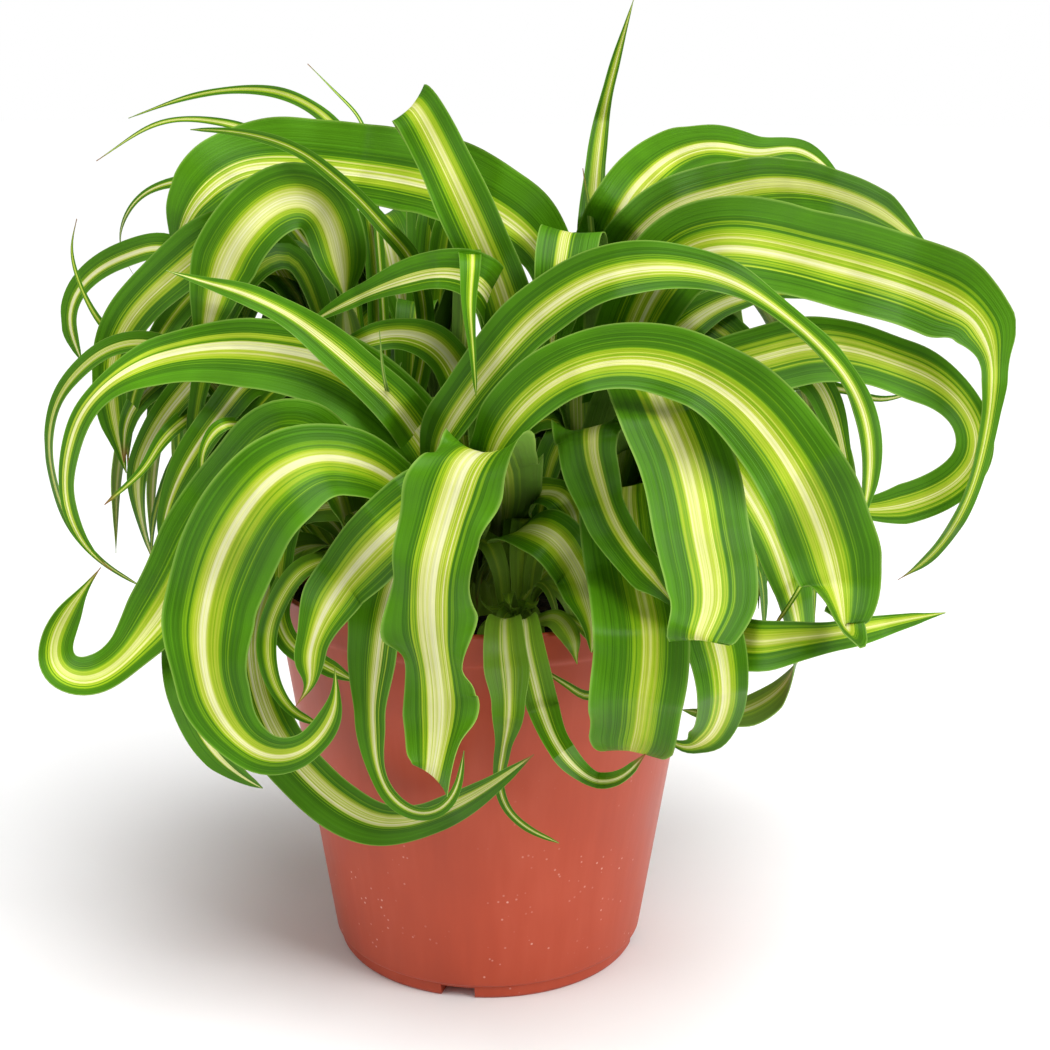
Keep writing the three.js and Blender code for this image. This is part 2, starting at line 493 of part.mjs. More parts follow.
function rearLeaves() {
  const leaves = [];
  rearRows.forEach(([crown, first, last, count, reach, top, tip], row) => {
    for (let k = 0; k < count; k++) {
      const vary = (n) => drawNumber(row * 40 + k * 5 + n) - 0.5;
      const heading = mix(first, last, (k + 0.5) / count) + vary(0) * 8;
      const path = rearPath(crown, heading, vary(1) * rearSwing, reach + vary(2) * 8,
        top + vary(3) * 6, tip + vary(4) * 24);
      const width = 15 + row + vary(2) * 4;
      leaves.push(makeLeaf(crown, width, [0, 0], 1, path, [vary(1) * 30, vary(4) * 50]));
    }
  });
  return leaves;
}

// A closed mesh as a solid, and a solid as a mesh
function solidOf(geometry) {
  const bare = geometry.clone();
  bare.deleteAttribute("normal");
  bare.deleteAttribute("uv");
  const merged = mergeVertices(bare, 1e-4);
  return new wasm.Manifold(new wasm.Mesh({
    numProp: 3,
    vertProperties: merged.attributes.position.array,
    triVerts: new Uint32Array(merged.index.array),
  }));
}

function meshOf(name, solid, material) {
  const { vertProperties, triVerts } = solid.getMesh();
  const geometry = new THREE.BufferGeometry();
  geometry.setAttribute("position", new THREE.BufferAttribute(vertProperties, 3));
  geometry.setIndex(new THREE.BufferAttribute(triVerts, 1));
  geometry.computeVertexNormals();
  const mesh = new THREE.Mesh(geometry, material);
  mesh.name = name;
  return mesh;
}

function uprightCylinder(topRadius, bottomRadius, bottom, top, x, y, sides) {
  const geometry = new THREE.CylinderGeometry(topRadius, bottomRadius, top - bottom, sides);
  return geometry.rotateX(Math.PI / 2).translate(x, y, (top + bottom) / 2);
}

// How far the edges of a leaf stray from straight lines between two of its stations
function strayBetween(all, first, last) {
  let most = 0;
  for (const v of [-1, 0, 1]) {
    const line = new THREE.Line3(bladePoint(all[first], v, 0), bladePoint(all[last], v, 0));
    for (let i = first + 1; i < last; i++) {
      const point = bladePoint(all[i], v, 0);
      const onLine = line.closestPointToPoint(point, true, new THREE.Vector3());
      most = Math.max(most, point.distanceTo(onLine));
    }
  }
  return most;
}

// The few stations of a leaf that keep its outline
function fewFrames(all) {
  const kept = [all[0]];
  let first = 0;
  while (first < all.length - 1) {
    let last = first + 1;
    while (last + 1 < all.length && strayBetween(all, first, last + 1) < mostStray) last++;
    kept.push(all[last]);
    first = last;
  }
  return kept;
}

// The closed solid of one leaf: rings of four points on a slim leaf and six on a folded one,
// with each quad split the same way on both faces
function bladeSolid(leaf) {
  const shape = fewFrames(frames(leaf));
  const slim = Math.max(...leaf.widths) < slimWidth;
  const places = slim ? [-1, 1] : [-1, 0, 1];
  const ring = places.length * 2;
  const positions = [];
  for (const frame of shape) {
    const half = Math.max(frame.half, leastHalf);
    const thick = (v) => (v === 0 ? bladeMiddle : bladeEdge) / 2;
    for (const v of places) positions.push(bladePoint({ ...frame, half }, v, thick(v)));
    for (const v of [...places].reverse()) positions.push(bladePoint({ ...frame, half }, v, -thick(v)));
  }
  const faces = [];
  for (let i = 0; i + 1 < shape.length; i++) {
    for (let k = 0; k < ring; k++) {
      const a = i * ring + k;
      const b = (i + 1) * ring + k;
      const c = (i + 1) * ring + ((k + 1) % ring);
      const d = i * ring + ((k + 1) % ring);
      if (k < places.length) faces.push(a, b, c, a, c, d);
      else faces.push(a, b, d, b, c, d);
    }
  }
  const caps = slim ? [[0, 1, 2], [0, 2, 3]] : [[0, 1, 4], [0, 4, 5], [1, 2, 3], [1, 3, 4]];
  const end = (shape.length - 1) * ring;
  for (const [a, b, c] of caps) {
    faces.push(a, b, c, end + a, end + c, end + b);
  }
  return new wasm.Manifold(new wasm.Mesh({
    numProp: 3,
    vertProperties: new Float32Array(positions.flatMap((p) => p.toArray())),
    triVerts: new Uint32Array(faces),
  }));
}

// Pot: a flat floor, a low foot with drain notches, a plain tapered wall and a slightly proud rim
function potSolid() {
  const wallAt = (z) => mix(potBaseRadius, potTopRadius, z / potHeight);
  const shelf = notchHeight + floorThickness;
  const profile = [
    [0, 0],
    [wallAt(0) - footStep - footRound, 0],
    [wallAt(0) - footStep, footRound],
    [wallAt(0) - footStep / 2, footHeight],
    [wallAt(footHeight), footHeight + 2 * footRound],
    [wallAt(potHeight - rimBand), potHeight - rimBand],
    [wallAt(potHeight - rimBand) + rimProud, potHeight - rimBand + 1],
    [wallAt(potHeight) + rimProud, potHeight - lipRound],
    [wallAt(potHeight) + rimProud - lipRound, potHeight],
    [wallAt(potHeight) - potWall, potHeight],
    [wallAt(shelf + 1) - potWall, shelf + 1],
    [wallAt(0) - notchDepth - potWall, shelf],
    [wallAt(0) - notchDepth - potWall - 1, floorThickness],
    [0, floorThickness],
  ].map(([x, y]) => new THREE.Vector2(x, y));
  let pot = solidOf(new THREE.LatheGeometry(profile, potSides).rotateX(Math.PI / 2));
  for (let k = 0; k < notchCount; k++) {
    const angle = THREE.MathUtils.degToRad(notchTurn + (360 * k) / notchCount);
    const notch = new THREE.BoxGeometry(notchDepth * 2, notchWidth, notchHeight * 2)
      .translate(potBaseRadius, 0, 0).rotateZ(angle);
    pot = pot.subtract(solidOf(notch));
  }
  return pot;
}

// Soil: fills the pot to just under the rim, with a low mound and a plain hole for each crown
function soilSolid() {
  const insideAt = (z) => mix(potBaseRadius, potTopRadius, z / potHeight) - potWall - gap;
  const shelf = notchHeight + floorThickness;
  const profile = [
    [0, floorThickness + gap],
    [insideAt(0) - notchDepth - 1, floorThickness + gap],
    [insideAt(0) - notchDepth, shelf + gap],
    [insideAt(shelf + 1), shelf + 1 + gap],
    [insideAt(soilTop - 2), soilTop - 2],
    [potTopRadius * 0.7, soilTop],
    [potTopRadius * 0.35, soilTop + soilMound * 0.8],
    [0, soilTop + soilMound],
  ].map(([x, y]) => new THREE.Vector2(x, y));
  let soil = solidOf(new THREE.LatheGeometry(profile, potSides).rotateX(Math.PI / 2));
  for (const [x, y] of Object.values(crowns)) {
    const hole = uprightCylinder(crownRadius + gap, crownRadius + gap,
      soilTop - crownSink - gap, soilTop + crownRise, x, y, neckSides);
    soil = soil.subtract(solidOf(hole));
  }
  return soil;
}

// Fills the pockets that close up between crossing leaves
function withoutPockets(solid) {
  const shells = solid.decompose();
  return shells.reduce((best, shell) => (shell.volume() > best.volume() ? shell : best));
}

// A crown: the short neck in the soil with all its leaves fused into it
function crownSolid(name, leaves) {
  const [x, y] = crowns[name];
  let crown = solidOf(uprightCylinder(crownNeck, crownRadius, soilTop - crownSink,
    soilTop + crownRise, x, y, neckSides));
  for (const leaf of leaves.filter((one) => one.crown === name)) {
    crown = crown.add(bladeSolid(leaf));
  }
  return withoutPockets(crown);
}

// The whole plant
markPot();
const rear = rearLeaves();
rear.forEach((leaf) => markLeaf(leaf, 0, leafStations));
const drawnAll = drawnLeaves.map((row) => makeLeaf(...row));
drawnAll.forEach((leaf) => markLeaf(leaf, 0, leaf.seenFrom - 1));
drawnAll.forEach((leaf) => layClear(leaf));
const leaves = [...rear, ...drawnAll];

const plastic = new THREE.MeshStandardMaterial({ color: 0xc0533b, roughness: 0.42, metalness: 0 });
const pottingMix = new THREE.MeshStandardMaterial({ color: 0x1c1512, roughness: 0.95, metalness: 0 });

const plant = new THREE.Group();
plant.add(meshOf("pot", potSolid(), plastic));
plant.add(meshOf("soil", soilSolid(), pottingMix));
for (const name of Object.keys(crowns)) {
  const leafGreen = new THREE.MeshStandardMaterial({ color: 0x5f9a22, roughness: 0.4, metalness: 0 });
  const title = "crown" + name[0].toUpperCase() + name.slice(1);
  plant.add(meshOf(title, crownSolid(name, leaves), leafGreen));
}

export default plant;
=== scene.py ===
# A potted spider plant: striped strap leaves in six crowns, potting mix and a moulded nursery pot.
# The leaves follow the same drawn table and rules as the solids, and short inner leaves that the
# solids don't have fill the clump. Sizes are in millimetres until a mesh is made, -Y is towards the
# viewer and +Z is up.
import math
import bpy
import numpy as np
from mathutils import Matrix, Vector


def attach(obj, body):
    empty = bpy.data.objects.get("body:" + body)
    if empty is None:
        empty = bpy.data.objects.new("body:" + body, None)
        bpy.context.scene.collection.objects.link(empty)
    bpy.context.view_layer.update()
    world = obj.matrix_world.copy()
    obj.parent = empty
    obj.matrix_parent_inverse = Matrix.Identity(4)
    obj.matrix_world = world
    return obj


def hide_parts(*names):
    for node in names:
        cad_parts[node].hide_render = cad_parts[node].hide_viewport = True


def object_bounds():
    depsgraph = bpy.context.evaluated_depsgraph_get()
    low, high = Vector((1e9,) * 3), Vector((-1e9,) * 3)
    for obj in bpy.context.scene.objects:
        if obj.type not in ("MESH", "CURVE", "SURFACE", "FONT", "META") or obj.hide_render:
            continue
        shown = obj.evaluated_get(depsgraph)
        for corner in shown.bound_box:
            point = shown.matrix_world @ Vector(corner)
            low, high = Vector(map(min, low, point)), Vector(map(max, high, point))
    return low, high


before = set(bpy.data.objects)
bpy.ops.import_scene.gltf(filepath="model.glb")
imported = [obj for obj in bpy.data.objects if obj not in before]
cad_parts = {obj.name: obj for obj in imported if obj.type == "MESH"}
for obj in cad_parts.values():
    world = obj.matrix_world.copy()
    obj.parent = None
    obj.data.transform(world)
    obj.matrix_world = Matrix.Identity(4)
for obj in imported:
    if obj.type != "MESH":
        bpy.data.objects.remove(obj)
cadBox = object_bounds()
millimetre = 0.001
decimetre = 100.0  # the lengths that the materials read count in these
solidBox = np.array([list(c) for c in cadBox]) / millimetre

# The view of the photograph: the eye in millimetres, how many degrees it looks down and is rolled,
# its focal length and width in pixels, and the sensor that stands for that width
view = {"eye": (10.0, -470.0, 247.5), "down": 15.0, "roll": 0.4,
        "focal": 1760, "pixels": 1050, "sensor": 36.0, "nearest": 0.01}

pot = {
    "height": 109.5, "topRadius": 60.0, "baseRadius": 43.4, "wall": 1.4, "floor": 1.8,
    "footHeight": 4.0, "footStep": 0.8, "rimBand": 9.0, "rimProud": 0.5,
    "notchCount": 4, "notchWidth": 9.5, "notchDepth": 6.0, "notchHeight": 3.0, "notchTurn": -100.0,
}

soil = {"top": 99.5, "mound": 2.5, "gap": 0.3}

crown = {
    "radius": 9.0, "neck": 6.0, "sink": 10.0, "rise": 13.0,
    "places": {
        "front": (-4, -12), "right": (30, -4), "left": (-34, -2),
        "low": (8, -39), "backLeft": (-20, 30), "backRight": (18, 32),
    },
}

# The form that all leaves share: stations along each, the narrow stalk, the fold along the middle,
# the tip, and how its face turns to the viewer
leaf = {
    "stations": 72, "marks": 201, "leastSpan": 1e-4, "blurs": 3, "drawnStart": 2.5,
    "foldShare": 0.16, "baseFold": 3, "foldEase": 2, "stalkShare": 0.42, "stalkLength": 50.0,
    "tipLength": 3.0, "tipPower": 0.65, "tipStations": 9,
    "turnFade": math.pi / 3, "endOn": 0.3, "turnReach": 4,
    "plainWidths": [0.7, 0.85, 1, 1, 0.94, 0.8, 0.58, 0.32, 0.06],
}

# Each row is a leaf of the view: crown, width, how far its face turns towards the viewer from base
# to tip, 1 for all the way, how many of its points are out of sight, its drawn points, and for a
# twisted leaf the degrees of twist from base to tip. The furthest comes first, the nearest last.
drawnLeaves = [
    # upright tips and the high arches at the top right
    ["right", 9, [0.5, 0.5, 0.3], 2, [[30, 130, 6], [27, 165], [27, 200], [27.7, 215], [29.5, 230],
      [32.5, 243], [37, 259, 14]]],
    ["right", 5, [0.3, 0.3], 2, [[28, 140, 4], [27, 180], [27, 200], [24.5, 216, 10]]],
    ["right", 20, [0.2, 0.9, 0.9, 0.6], 2, [[29, 150, 8], [30, 185], [35, 205, 14], [41, 213.5],
      [48.5, 219.5], [57, 222], [65, 221], [71, 220], [77, 221.5], [83, 220.5], [90, 215],
      [97, 206, 44]]],
    ["right", [9, 13, 16, 18, 18, 17, 14, 10], [0.2, 0.9, 0.9, 0.5], 2, [[31, 150, 4], [34, 185, 8],
      [41, 198], [50, 205], [61, 208.5], [71, 210.6], [82, 210.8], [93, 208.6], [102.5, 204.8],
      [110.5, 199.5], [118, 193, 26]]],
    ["right", 6, [0.6, 0.9], 2, [[50, 140, 4], [75, 158], [95, 158], [106, 155], [118, 158, 6]]],
    ["right", 14, [0.3, 0.8, 0.9], 3, [[42, 140, 0], [60, 162], [78, 166, -4], [88, 160],
      [93.5, 150],
      [96.5, 141], [98.5, 131], [99, 121, -14]]],
    ["right", 14, [0.2, 0.8, 0.8], 2, [[34, 140, 2], [41, 160, 0], [50, 172.5], [60, 180],
      [72, 184],
      [84, 184], [95, 180.5, -4]]],
    # the loop at the right and the broad arch above it
    ["right", [8, 15, 17, 18, 18, 15, 10, 11, 10], [0.3, 0.9, 0.9, 0.8, 0.7, 0.8, 0.9, 0.9], 2,
      [[38, 125, -4], [52, 155, -8], [64, 162], [77, 166], [87.5, 168.4], [98.2, 167.4],
        [109, 164.2], [119.7, 160.2], [127.4, 154.2], [132, 147], [132.5, 139], [127.5, 132],
        [118, 127], [107.3, 124.6], [97, 124.5, -24]]],
    ["right", [9, 11, 13, 15, 17, 18, 19, 20, 21, 22, 22, 23, 23, 23, 17, 7, 5, 5, 5, 4, 1],
      [0.2, 0.8, 0.9, 0.9, 0.9, 0.9, 0.8, 0.4, 0.5],
      2, [[33, 130, -2], [36, 165, -2], [43, 184], [50, 193.5], [57.5, 197], [65.5, 197.4],
        [75, 196], [86.3, 193.4], [99.5, 190.2], [112.7, 186.5, -8], [123, 182.6], [130, 179],
        [134.5, 172.5], [136.5, 164, -4], [136.6, 155], [135.8, 146], [134, 135], [131, 124.7],
        [126, 115], [120, 108], [114, 104, 6]]],
    # left side, the furthest first
    ["left", 7, [0.9, 0.9, 0.3], 3, [[-38, 150, 10], [-48, 195], [-62, 208], [-75, 212],
      [-84, 211.5],
      [-92, 208], [-97, 201], [-98, 194], [-94, 186, 30]]],
    ["left", 6, [0.8, 0.8], 2, [[-30, 150, 8], [-32, 205], [-40, 226], [-52, 234], [-64, 235.5],
      [-78, 233.5], [-94, 228, 38]]],
    ["left", 4.5, [0.8, 0.8], 3, [[-34, 150, 6], [-42, 205], [-58, 223], [-72, 227.5], [-86, 227],
      [-103, 217, 26]]],
    ["left", 3, [0.3, 0.3], 2, [[-28, 150, 6], [-30, 205], [-33, 227], [-40, 235], [-47, 242, 30]]],
    ["left", [6, 9, 9, 7, 4], [0.5, 0.9, 0.8], 2, [[-60, 130, 6], [-72, 180], [-85, 195],
      [-96, 193],
      [-105, 188.5], [-111, 182], [-113, 174], [-110, 164, 10]]],
    ["left", 4, [0.6, 0.6], 2, [[-70, 140, 4], [-95, 165], [-104, 174], [-109, 184], [-111, 194],
      [-109, 202, 4]]],
    ["right", [8, 8, 9, 9, 10, 13, 18, 21, 21, 21, 18, 14, 8],
      [0.2, 0.9, 0.9, 0.9, 0.9, 0.8, 0.8, 0.7, 0.5],
      2, [[22, 140, 0], [20, 175], [17.7, 190], [11.3, 200], [2.8, 206.5], [-7, 211.3],
        [-19.4, 214.4], [-31.6, 216.2], [-44, 217.6], [-56, 218.3], [-66, 217], [-73, 213, 0],
        [-78.5, 207], [-82, 199.5], [-83.5, 191, 20]]],
    ["left", [6, 10, 13, 15, 15, 14, 12, 9, 4], [0.3, 0.9, 0.9, 0.8, 0.8], 3, [[-40, 150, 2],
      [-56, 190], [-66, 198], [-73, 197], [-79.5, 192], [-87.2, 185.8], [-96, 177], [-101.5, 167],
      [-102.8, 156.5], [-101.8, 145], [-99.5, 133, 0]]],
    ["front", [6, 9, 11, 13, 14, 14, 13, 12, 12], [0, 0], 2, [[-2, 130, -4], [4, 160], [5.5, 176],
      [2.9, 185.2], [-3.4, 200], [-9.5, 213], [-14.4, 223], [-18.5, 230.5, -2], [-20.5, 231.5, 5],
      [-18.5, 225, 14], [-14, 214, 20]], [180, 180]],
    ["left", [6, 9, 10, 11, 15, 17, 17, 15], [-0.3, -0.6, -0.3, 0.9, 0.9, 0.9], 1, [[-36, 140, -2],
      [-38.5, 176], [-39.5, 191], [-41.5, 201, -6], [-46, 207.5], [-52, 208.5], [-58, 206],
      [-64.2, 200.5], [-69.4, 193], [-72.8, 184.7], [-75.5, 175], [-77.5, 166, -12]]],
    ["left", [3, 4, 5, 5, 5, 4, 3, 1], [0.6, 0.9, 0.9], 2, [[-24, 140, 0], [-17, 172], [-20.5, 192],
      [-27, 199.6], [-34, 207.4], [-41, 213.6], [-47.5, 218.7], [-55, 222.2], [-63, 224.2],
      [-70, 225.1], [-78, 225.2, 4]]],
    ["front", 15, [0.2, 0.9, 0.9], 2, [[0, 140, -10], [3, 176], [-2, 187], [-12, 189.5],
      [-22, 187.5],
      [-32, 183.5], [-42, 178.5], [-51, 173, -14]]],
    ["front", 13, [0.3, 0.9, 0.9], 2, [[-4, 135, -12], [-8, 160], [-15, 169.5], [-25, 172],
      [-35, 169.5], [-45, 164], [-53, 156, -16]]],
    # hanging leaves of the left middle
    ["left", [7, 13, 13, 9, 3], [0.2, 0.8, 0.8, 0.6], 4, [[-44, 125, -2], [-62, 158], [-78, 164],
      [-90, 158], [-98, 148], [-100, 136, -8]]],
    ["left", [5, 8, 9, 8, 6, 2], [0.3, 0.9, 0.9, 0.3], 3, [[-42, 130, -4], [-60, 160], [-74, 164],
      [-84, 155], [-92, 144], [-96.5, 133], [-96, 120], [-93, 107, -14]]],
    ["left", [5, 6, 5, 1], [0.6, 0.9, 0.8], 3, [[-44, 128, -4], [-62, 150], [-76, 152], [-88, 144],
      [-95, 134], [-106, 124, -10]]],
    ["left", [5, 7, 6], [0.8, 0.9], 2, [[-44, 122, -6], [-60, 142], [-72, 144], [-80, 137],
      [-86, 124],
      [-90, 112, -14]]],
    ["left", [6, 10, 10, 8, 3], [0.2, 0.9, 0.9, 0.6], 3, [[-40, 125, -6], [-52, 154], [-63, 160],
      [-73, 150], [-80.5, 140], [-86, 130], [-89.5, 120], [-91, 110, -18]]],
    ["left", 6, [0.5, 0.8], 2, [[-44, 118, -6], [-60, 143], [-72, 147], [-78, 140],
      [-79, 126, -14]]],
    ["left", 10, [0.5, 0.9], 1, [[-36, 112, -10], [-36, 121], [-44, 123.5],
      [-54, 120], [-60, 110, -24]]],
    # the big arch to the left and the two thin leaves that fall with it
    ["left", [5, 7, 6, 5, 4, 1], [0.6, 0.9, 0.8, 0.3, 0.6], 2, [[-56, 130, -2], [-78, 162],
      [-91, 169.5],
      [-102, 168], [-111, 161.5], [-117, 153.5], [-120, 143], [-119.5, 131], [-116, 119],
      [-108, 108], [-97, 100.5, -24]]],
    ["front", [8, 16, 19, 20, 18, 13, 8, 5, 1], [0.3, 0.9, 0.9, 0.9, 0.8, 0.5, 0.6, 0.9], 1,
      [[-10, 118, -14], [-18, 140], [-29, 153], [-43, 162], [-57, 165.5], [-70, 166.5],
        [-82, 165.5], [-93, 162.5], [-103, 157], [-110, 149.5], [-114, 140], [-116, 130],
        [-115, 120], [-111, 111], [-105, 105, -26]]],
    ["front", [6, 10, 12, 10, 6, 1], [0.5, 0.9, 0.8], 1, [[-12, 130, -18], [-24, 151], [-33, 160],
      [-43, 169], [-53, 176.5], [-65, 182.3], [-76, 185.5], [-86, 188.5, -26]]],
    # centre: the hump, the long arches and the tips that hang before them
    ["right", [8, 18, 19, 15, 6], [0, 0, 0], 2, [[26, 140, -6], [24, 180], [22, 200, -14],
      [20, 190, -24], [18, 176], [17, 160, -26]]],
    ["front", [6, 11, 13, 14, 13, 9, 8, 8, 3], [0, 0.3, 0.6, 0.8, 0.8, 0.3, 0.5, 0.6], 1,
      [[-12, 118, -16], [-14, 140], [-8, 152], [0, 163], [12, 177], [27, 187], [41, 190.5],
        [55, 190], [66, 186.5], [77, 179.5], [88, 170.5], [96.5, 161.5], [101.5, 152.5],
        [104, 143], [104.5, 132], [102.5, 118, -46]]],
    ["front", [3, 6, 6, 1], [0, 0], 3, [[-8, 130, -12], [-7, 170], [-6, 194, -22], [-5, 192, -34],
      [-5.5, 180, -38], [-4.5, 168], [-3.5, 155, -40]]],
    ["front", 2.5, [0, 0], 1, [[-20, 135, -14], [-28, 158], [-29.5, 173, -18]]],
    # inner arches over the soil
    ["front", [7, 10, 11, 9, 4], [0.5, 0.9, 0.9], 1, [[0, 106, -14], [3, 115], [7, 122.5],
      [13, 127.5], [19, 127.5], [23, 122.5], [24.5, 114, -28]]],
    ["low", 9, [0, 0.6, 0.9], 0, [[8, 92, -37], [12, 100], [19, 107], [26, 106], [32, 98, -34]]],
    ["front", [6, 13, 14, 13, 8], [0.3, 0.6, 0.6, 0.3], 1, [[-1, 104, -14], [3, 112], [9, 117.5],
      [17, 115.5], [23, 108], [27, 99], [29, 90], [29, 82, -62]]],
    ["low", [4, 9, 8, 2], [0.3, 0.6, 0.5], 0, [[10, 88, -42], [14.5, 91], [19, 91.5, -56],
      [23, 86, -63],
      [25, 78.5, -66]]],
    # leaves of the right middle that reach low
    ["right", [7, 14, 14, 14, 13, 13, 12, 8], [0.2, 0.5, 0.7, 0.7, 0.2, -0.6, -0.6, -0.6], 3,
      [[38, 118, -12], [52, 136], [64, 138, -34], [74, 125], [79.5, 114], [83.5, 103], [86.5, 92],
        [87.5, 82, -54], [84, 73], [76, 66.5], [66, 63.5], [55, 65, -48]]],
    ["right", [4, 3, 1], [0.5, 0.5], 3, [[42, 118, -20], [70, 128, -44], [90, 112], [86, 100],
      [80, 90, -58]]],
    ["right", [7, 14, 14, 13, 7, 2], [0.3, 0.9, 0.9, 0.9], 3, [[40, 112, -16], [52, 104, -44],
      [62, 90],
      [73, 84, -66], [86, 85.5], [101, 88], [115, 91.5], [128, 94.5, -66]]],
    ["right", [6, 12, 15, 15, 12, 6], [0, 0.2, 0.3, 0.3, 0.9], 3, [[38, 112, -18], [50, 108, -40],
      [59, 97, -58], [63, 86], [65.5, 76, -66], [66, 66], [63, 57.5], [57, 53.5], [51, 56, -60]]],
    ["low", [3, 4, 3, 1], [0.2, 0.5], 3, [[12, 90, -43], [22, 92, -55], [33, 80, -64], [33, 71],
      [28, 69], [22, 72.5], [14.3, 77.5, -68]]],
    # the wavy leaf and the broad one that hangs beside it
    ["right", [8, 16, 20, 22, 22, 22, 20, 12], [0, 0, 0, 0.2], 2, [[36, 118, -14], [37, 130, -28],
      [37, 124, -42], [38.5, 112], [41, 100, -58], [43, 88, -66], [43, 78], [42, 68], [41.5, 59],
      [40, 51.5, -72], [42.5, 57, -64], [45, 66, -62]]],
    ["right", [7, 15, 19, 18, 14, 11, 9, 4], [0.2, 0.2, 0, 0.2, 0.5, 0.8, 0.8], 2,
      [[33, 120, -10], [31, 140, -20], [27, 146.5, -32], [27, 139, -44], [30, 129], [34, 119],
        [40, 110], [47, 102], [54, 94, -64]]],
    # the two broad arches to the right, nearest last
    ["right", [8, 16, 22, 23, 23, 22, 19, 10], [0, 0.2, 0.2, 0.2, 0], 3, [[34, 125, -16],
      [38, 148, -28], [43, 158.5, -44], [48, 150, -56], [53, 139], [56.5, 127], [59, 115],
      [61.5, 104], [62, 95], [58.5, 85, -80], [63.5, 91, -70], [69, 101, -66]]],
    ["front", [8, 12, 14, 15, 17, 20, 22, 22, 16], [0.2, 0.6, 0.8, 0.9, 0.9, 0.9, 0.8, 0.6], 1,
      [[-2, 112, -16], [-1, 130], [1.5, 142], [8.4, 152.8, -26], [19.2, 161.5], [30, 165.5],
        [43.3, 166], [57, 162], [69.4, 154], [79.4, 143], [87.7, 130], [94, 116], [98, 102],
        [100, 88, -78], [99, 96, -68], [97, 106, -64]]],
    # small leaves that hang over the rim
    ["left", [5, 7, 6, 4], [0.3, 0.8, 0.8], 3, [[-40, 110, -14], [-53, 106, -32], [-59, 94, -42],
      [-56, 84, -48], [-47, 78], [-38, 73, -60]]],
    ["low", [6, 9, 9, 8, 6, 4, 2], [0.2, 0.3, 0.5, 0.6], 2, [[9.5, 88.5, -47], [10.5, 91.5, -58],
      [11.5, 83, -66], [13.5, 74], [16, 64], [20, 54], [26, 46.5], [32, 43], [38.5, 44.5],
      [45, 51.5, -62]]],
    ["low", [6, 10, 12, 12, 8, 4, 2.5, 2, 1], [0, 0, 0.2, 0.3], 2, [[6, 88.5, -48],
      [4.5, 91.5, -58.5],
      [4.5, 83, -66], [5.5, 73], [5.5, 62], [4, 52], [3, 42], [5.5, 34], [11.5, 28],
      [20.5, 23.5, -62]]],
    # leaves that hang at the left
    ["left", [6, 10, 12, 12, 10, 8], [0.5, 0.8, 0.8, 0.5], 4, [[-44, 120, -14], [-60, 124],
      [-76, 108],
      [-84, 90], [-86, 76, -40], [-84.5, 64], [-80, 53.5], [-73, 45.5], [-65, 40, -36]]],
    ["left", [6, 11, 14, 14, 13, 8, 2], [0.5, 0.8, 0.9, 0.9, 0.8], 4, [[-42, 112, -18], [-56, 110],
      [-66, 92], [-67, 74, -46], [-62, 57], [-53, 44], [-43, 34.5], [-32, 29], [-20, 30],
      [-9, 35, -66], [1, 41.5], [13, 51, -64]]],
    ["left", [6, 6, 5, 2], [0.3, 0.6, 0.6], 2, [[-42, 108, -20], [-54, 104, -40], [-62, 88],
      [-61.5, 74], [-56, 64], [-48, 59.5, -56]]],
    ["front", [6, 13, 16, 16, 15, 8, 4, 3, 1], [0.2, 0, 0, 0, 0.3, 0.6, 0.6], 2,
      [[-12, 106, -24], [-22, 112, -40], [-28, 102, -56], [-31, 91, -66], [-32.5, 80],
        [-33.5, 69], [-33.5, 58], [-32, 46, -70], [-28, 37], [-20.5, 32], [-13.5, 33.5],
        [-9, 40], [-7, 52, -68]]],
    ["left", [8, 17, 20, 20, 20, 17, 13, 9, 2], [0.3, 0.7, 0.8, 0.8, 0.9, 0.5, 0.6, 0.6], 1,
      [[-40, 122, -8], [-46, 138], [-55, 143, -24], [-66, 133], [-77, 119], [-86, 103, -44],
        [-96, 87.5], [-106, 76.5], [-115, 72.5, -52], [-122, 76], [-122.5, 83], [-119, 91],
        [-114, 98.5], [-108, 106, -46]]],
    ["front", [8, 11, 14, 18, 23, 24, 23, 18, 12, 7, 2],
      [0.2, 0.4, 0.7, 0.8, 0.9, 0.8, 0.8, 0.7, 0.6], 1,
      [[-14, 108, -20], [-20, 122], [-27, 131, -30], [-37, 135.5], [-48, 136, -42], [-58.5, 130],
        [-67.5, 119, -54], [-74, 106], [-78, 92], [-79, 79, -66], [-77, 67], [-71.5, 56.5],
        [-63, 50.5], [-54, 51.5, -68], [-47, 58.5], [-43.5, 67.5], [-43.5, 77, -64]]],
    ["front", [8, 14, 18, 19, 18, 15, 8, 1], [0.2, 0.3, 0.3, 0.3, 0.3, 0.8], 1, [[-8, 114, -22],
      [-11, 127, -34], [-19, 123.5, -46], [-30, 114], [-40, 102.5], [-47, 91, -66], [-50.5, 80],
      [-50.5, 72], [-55, 65, -68]]],
    # the nearest leaf, wavy, falls down the middle
    ["front", [9, 16, 21, 22, 22, 22, 22, 22, 22, 20, 14], [0, 0, 0.2, 0, 0], 2, [[2, 112, -18],
      [3, 130, -22], [-1, 139.5, -34], [-6, 136, -46], [-9.5, 127, -58], [-12.5, 117],
      [-15, 107, -68], [-16, 97], [-15.5, 87], [-14, 76], [-13, 66], [-13.5, 56], [-15, 47, -80],
      [-16, 43, -75], [-15, 50, -69], [-14, 58, -66]]],
]

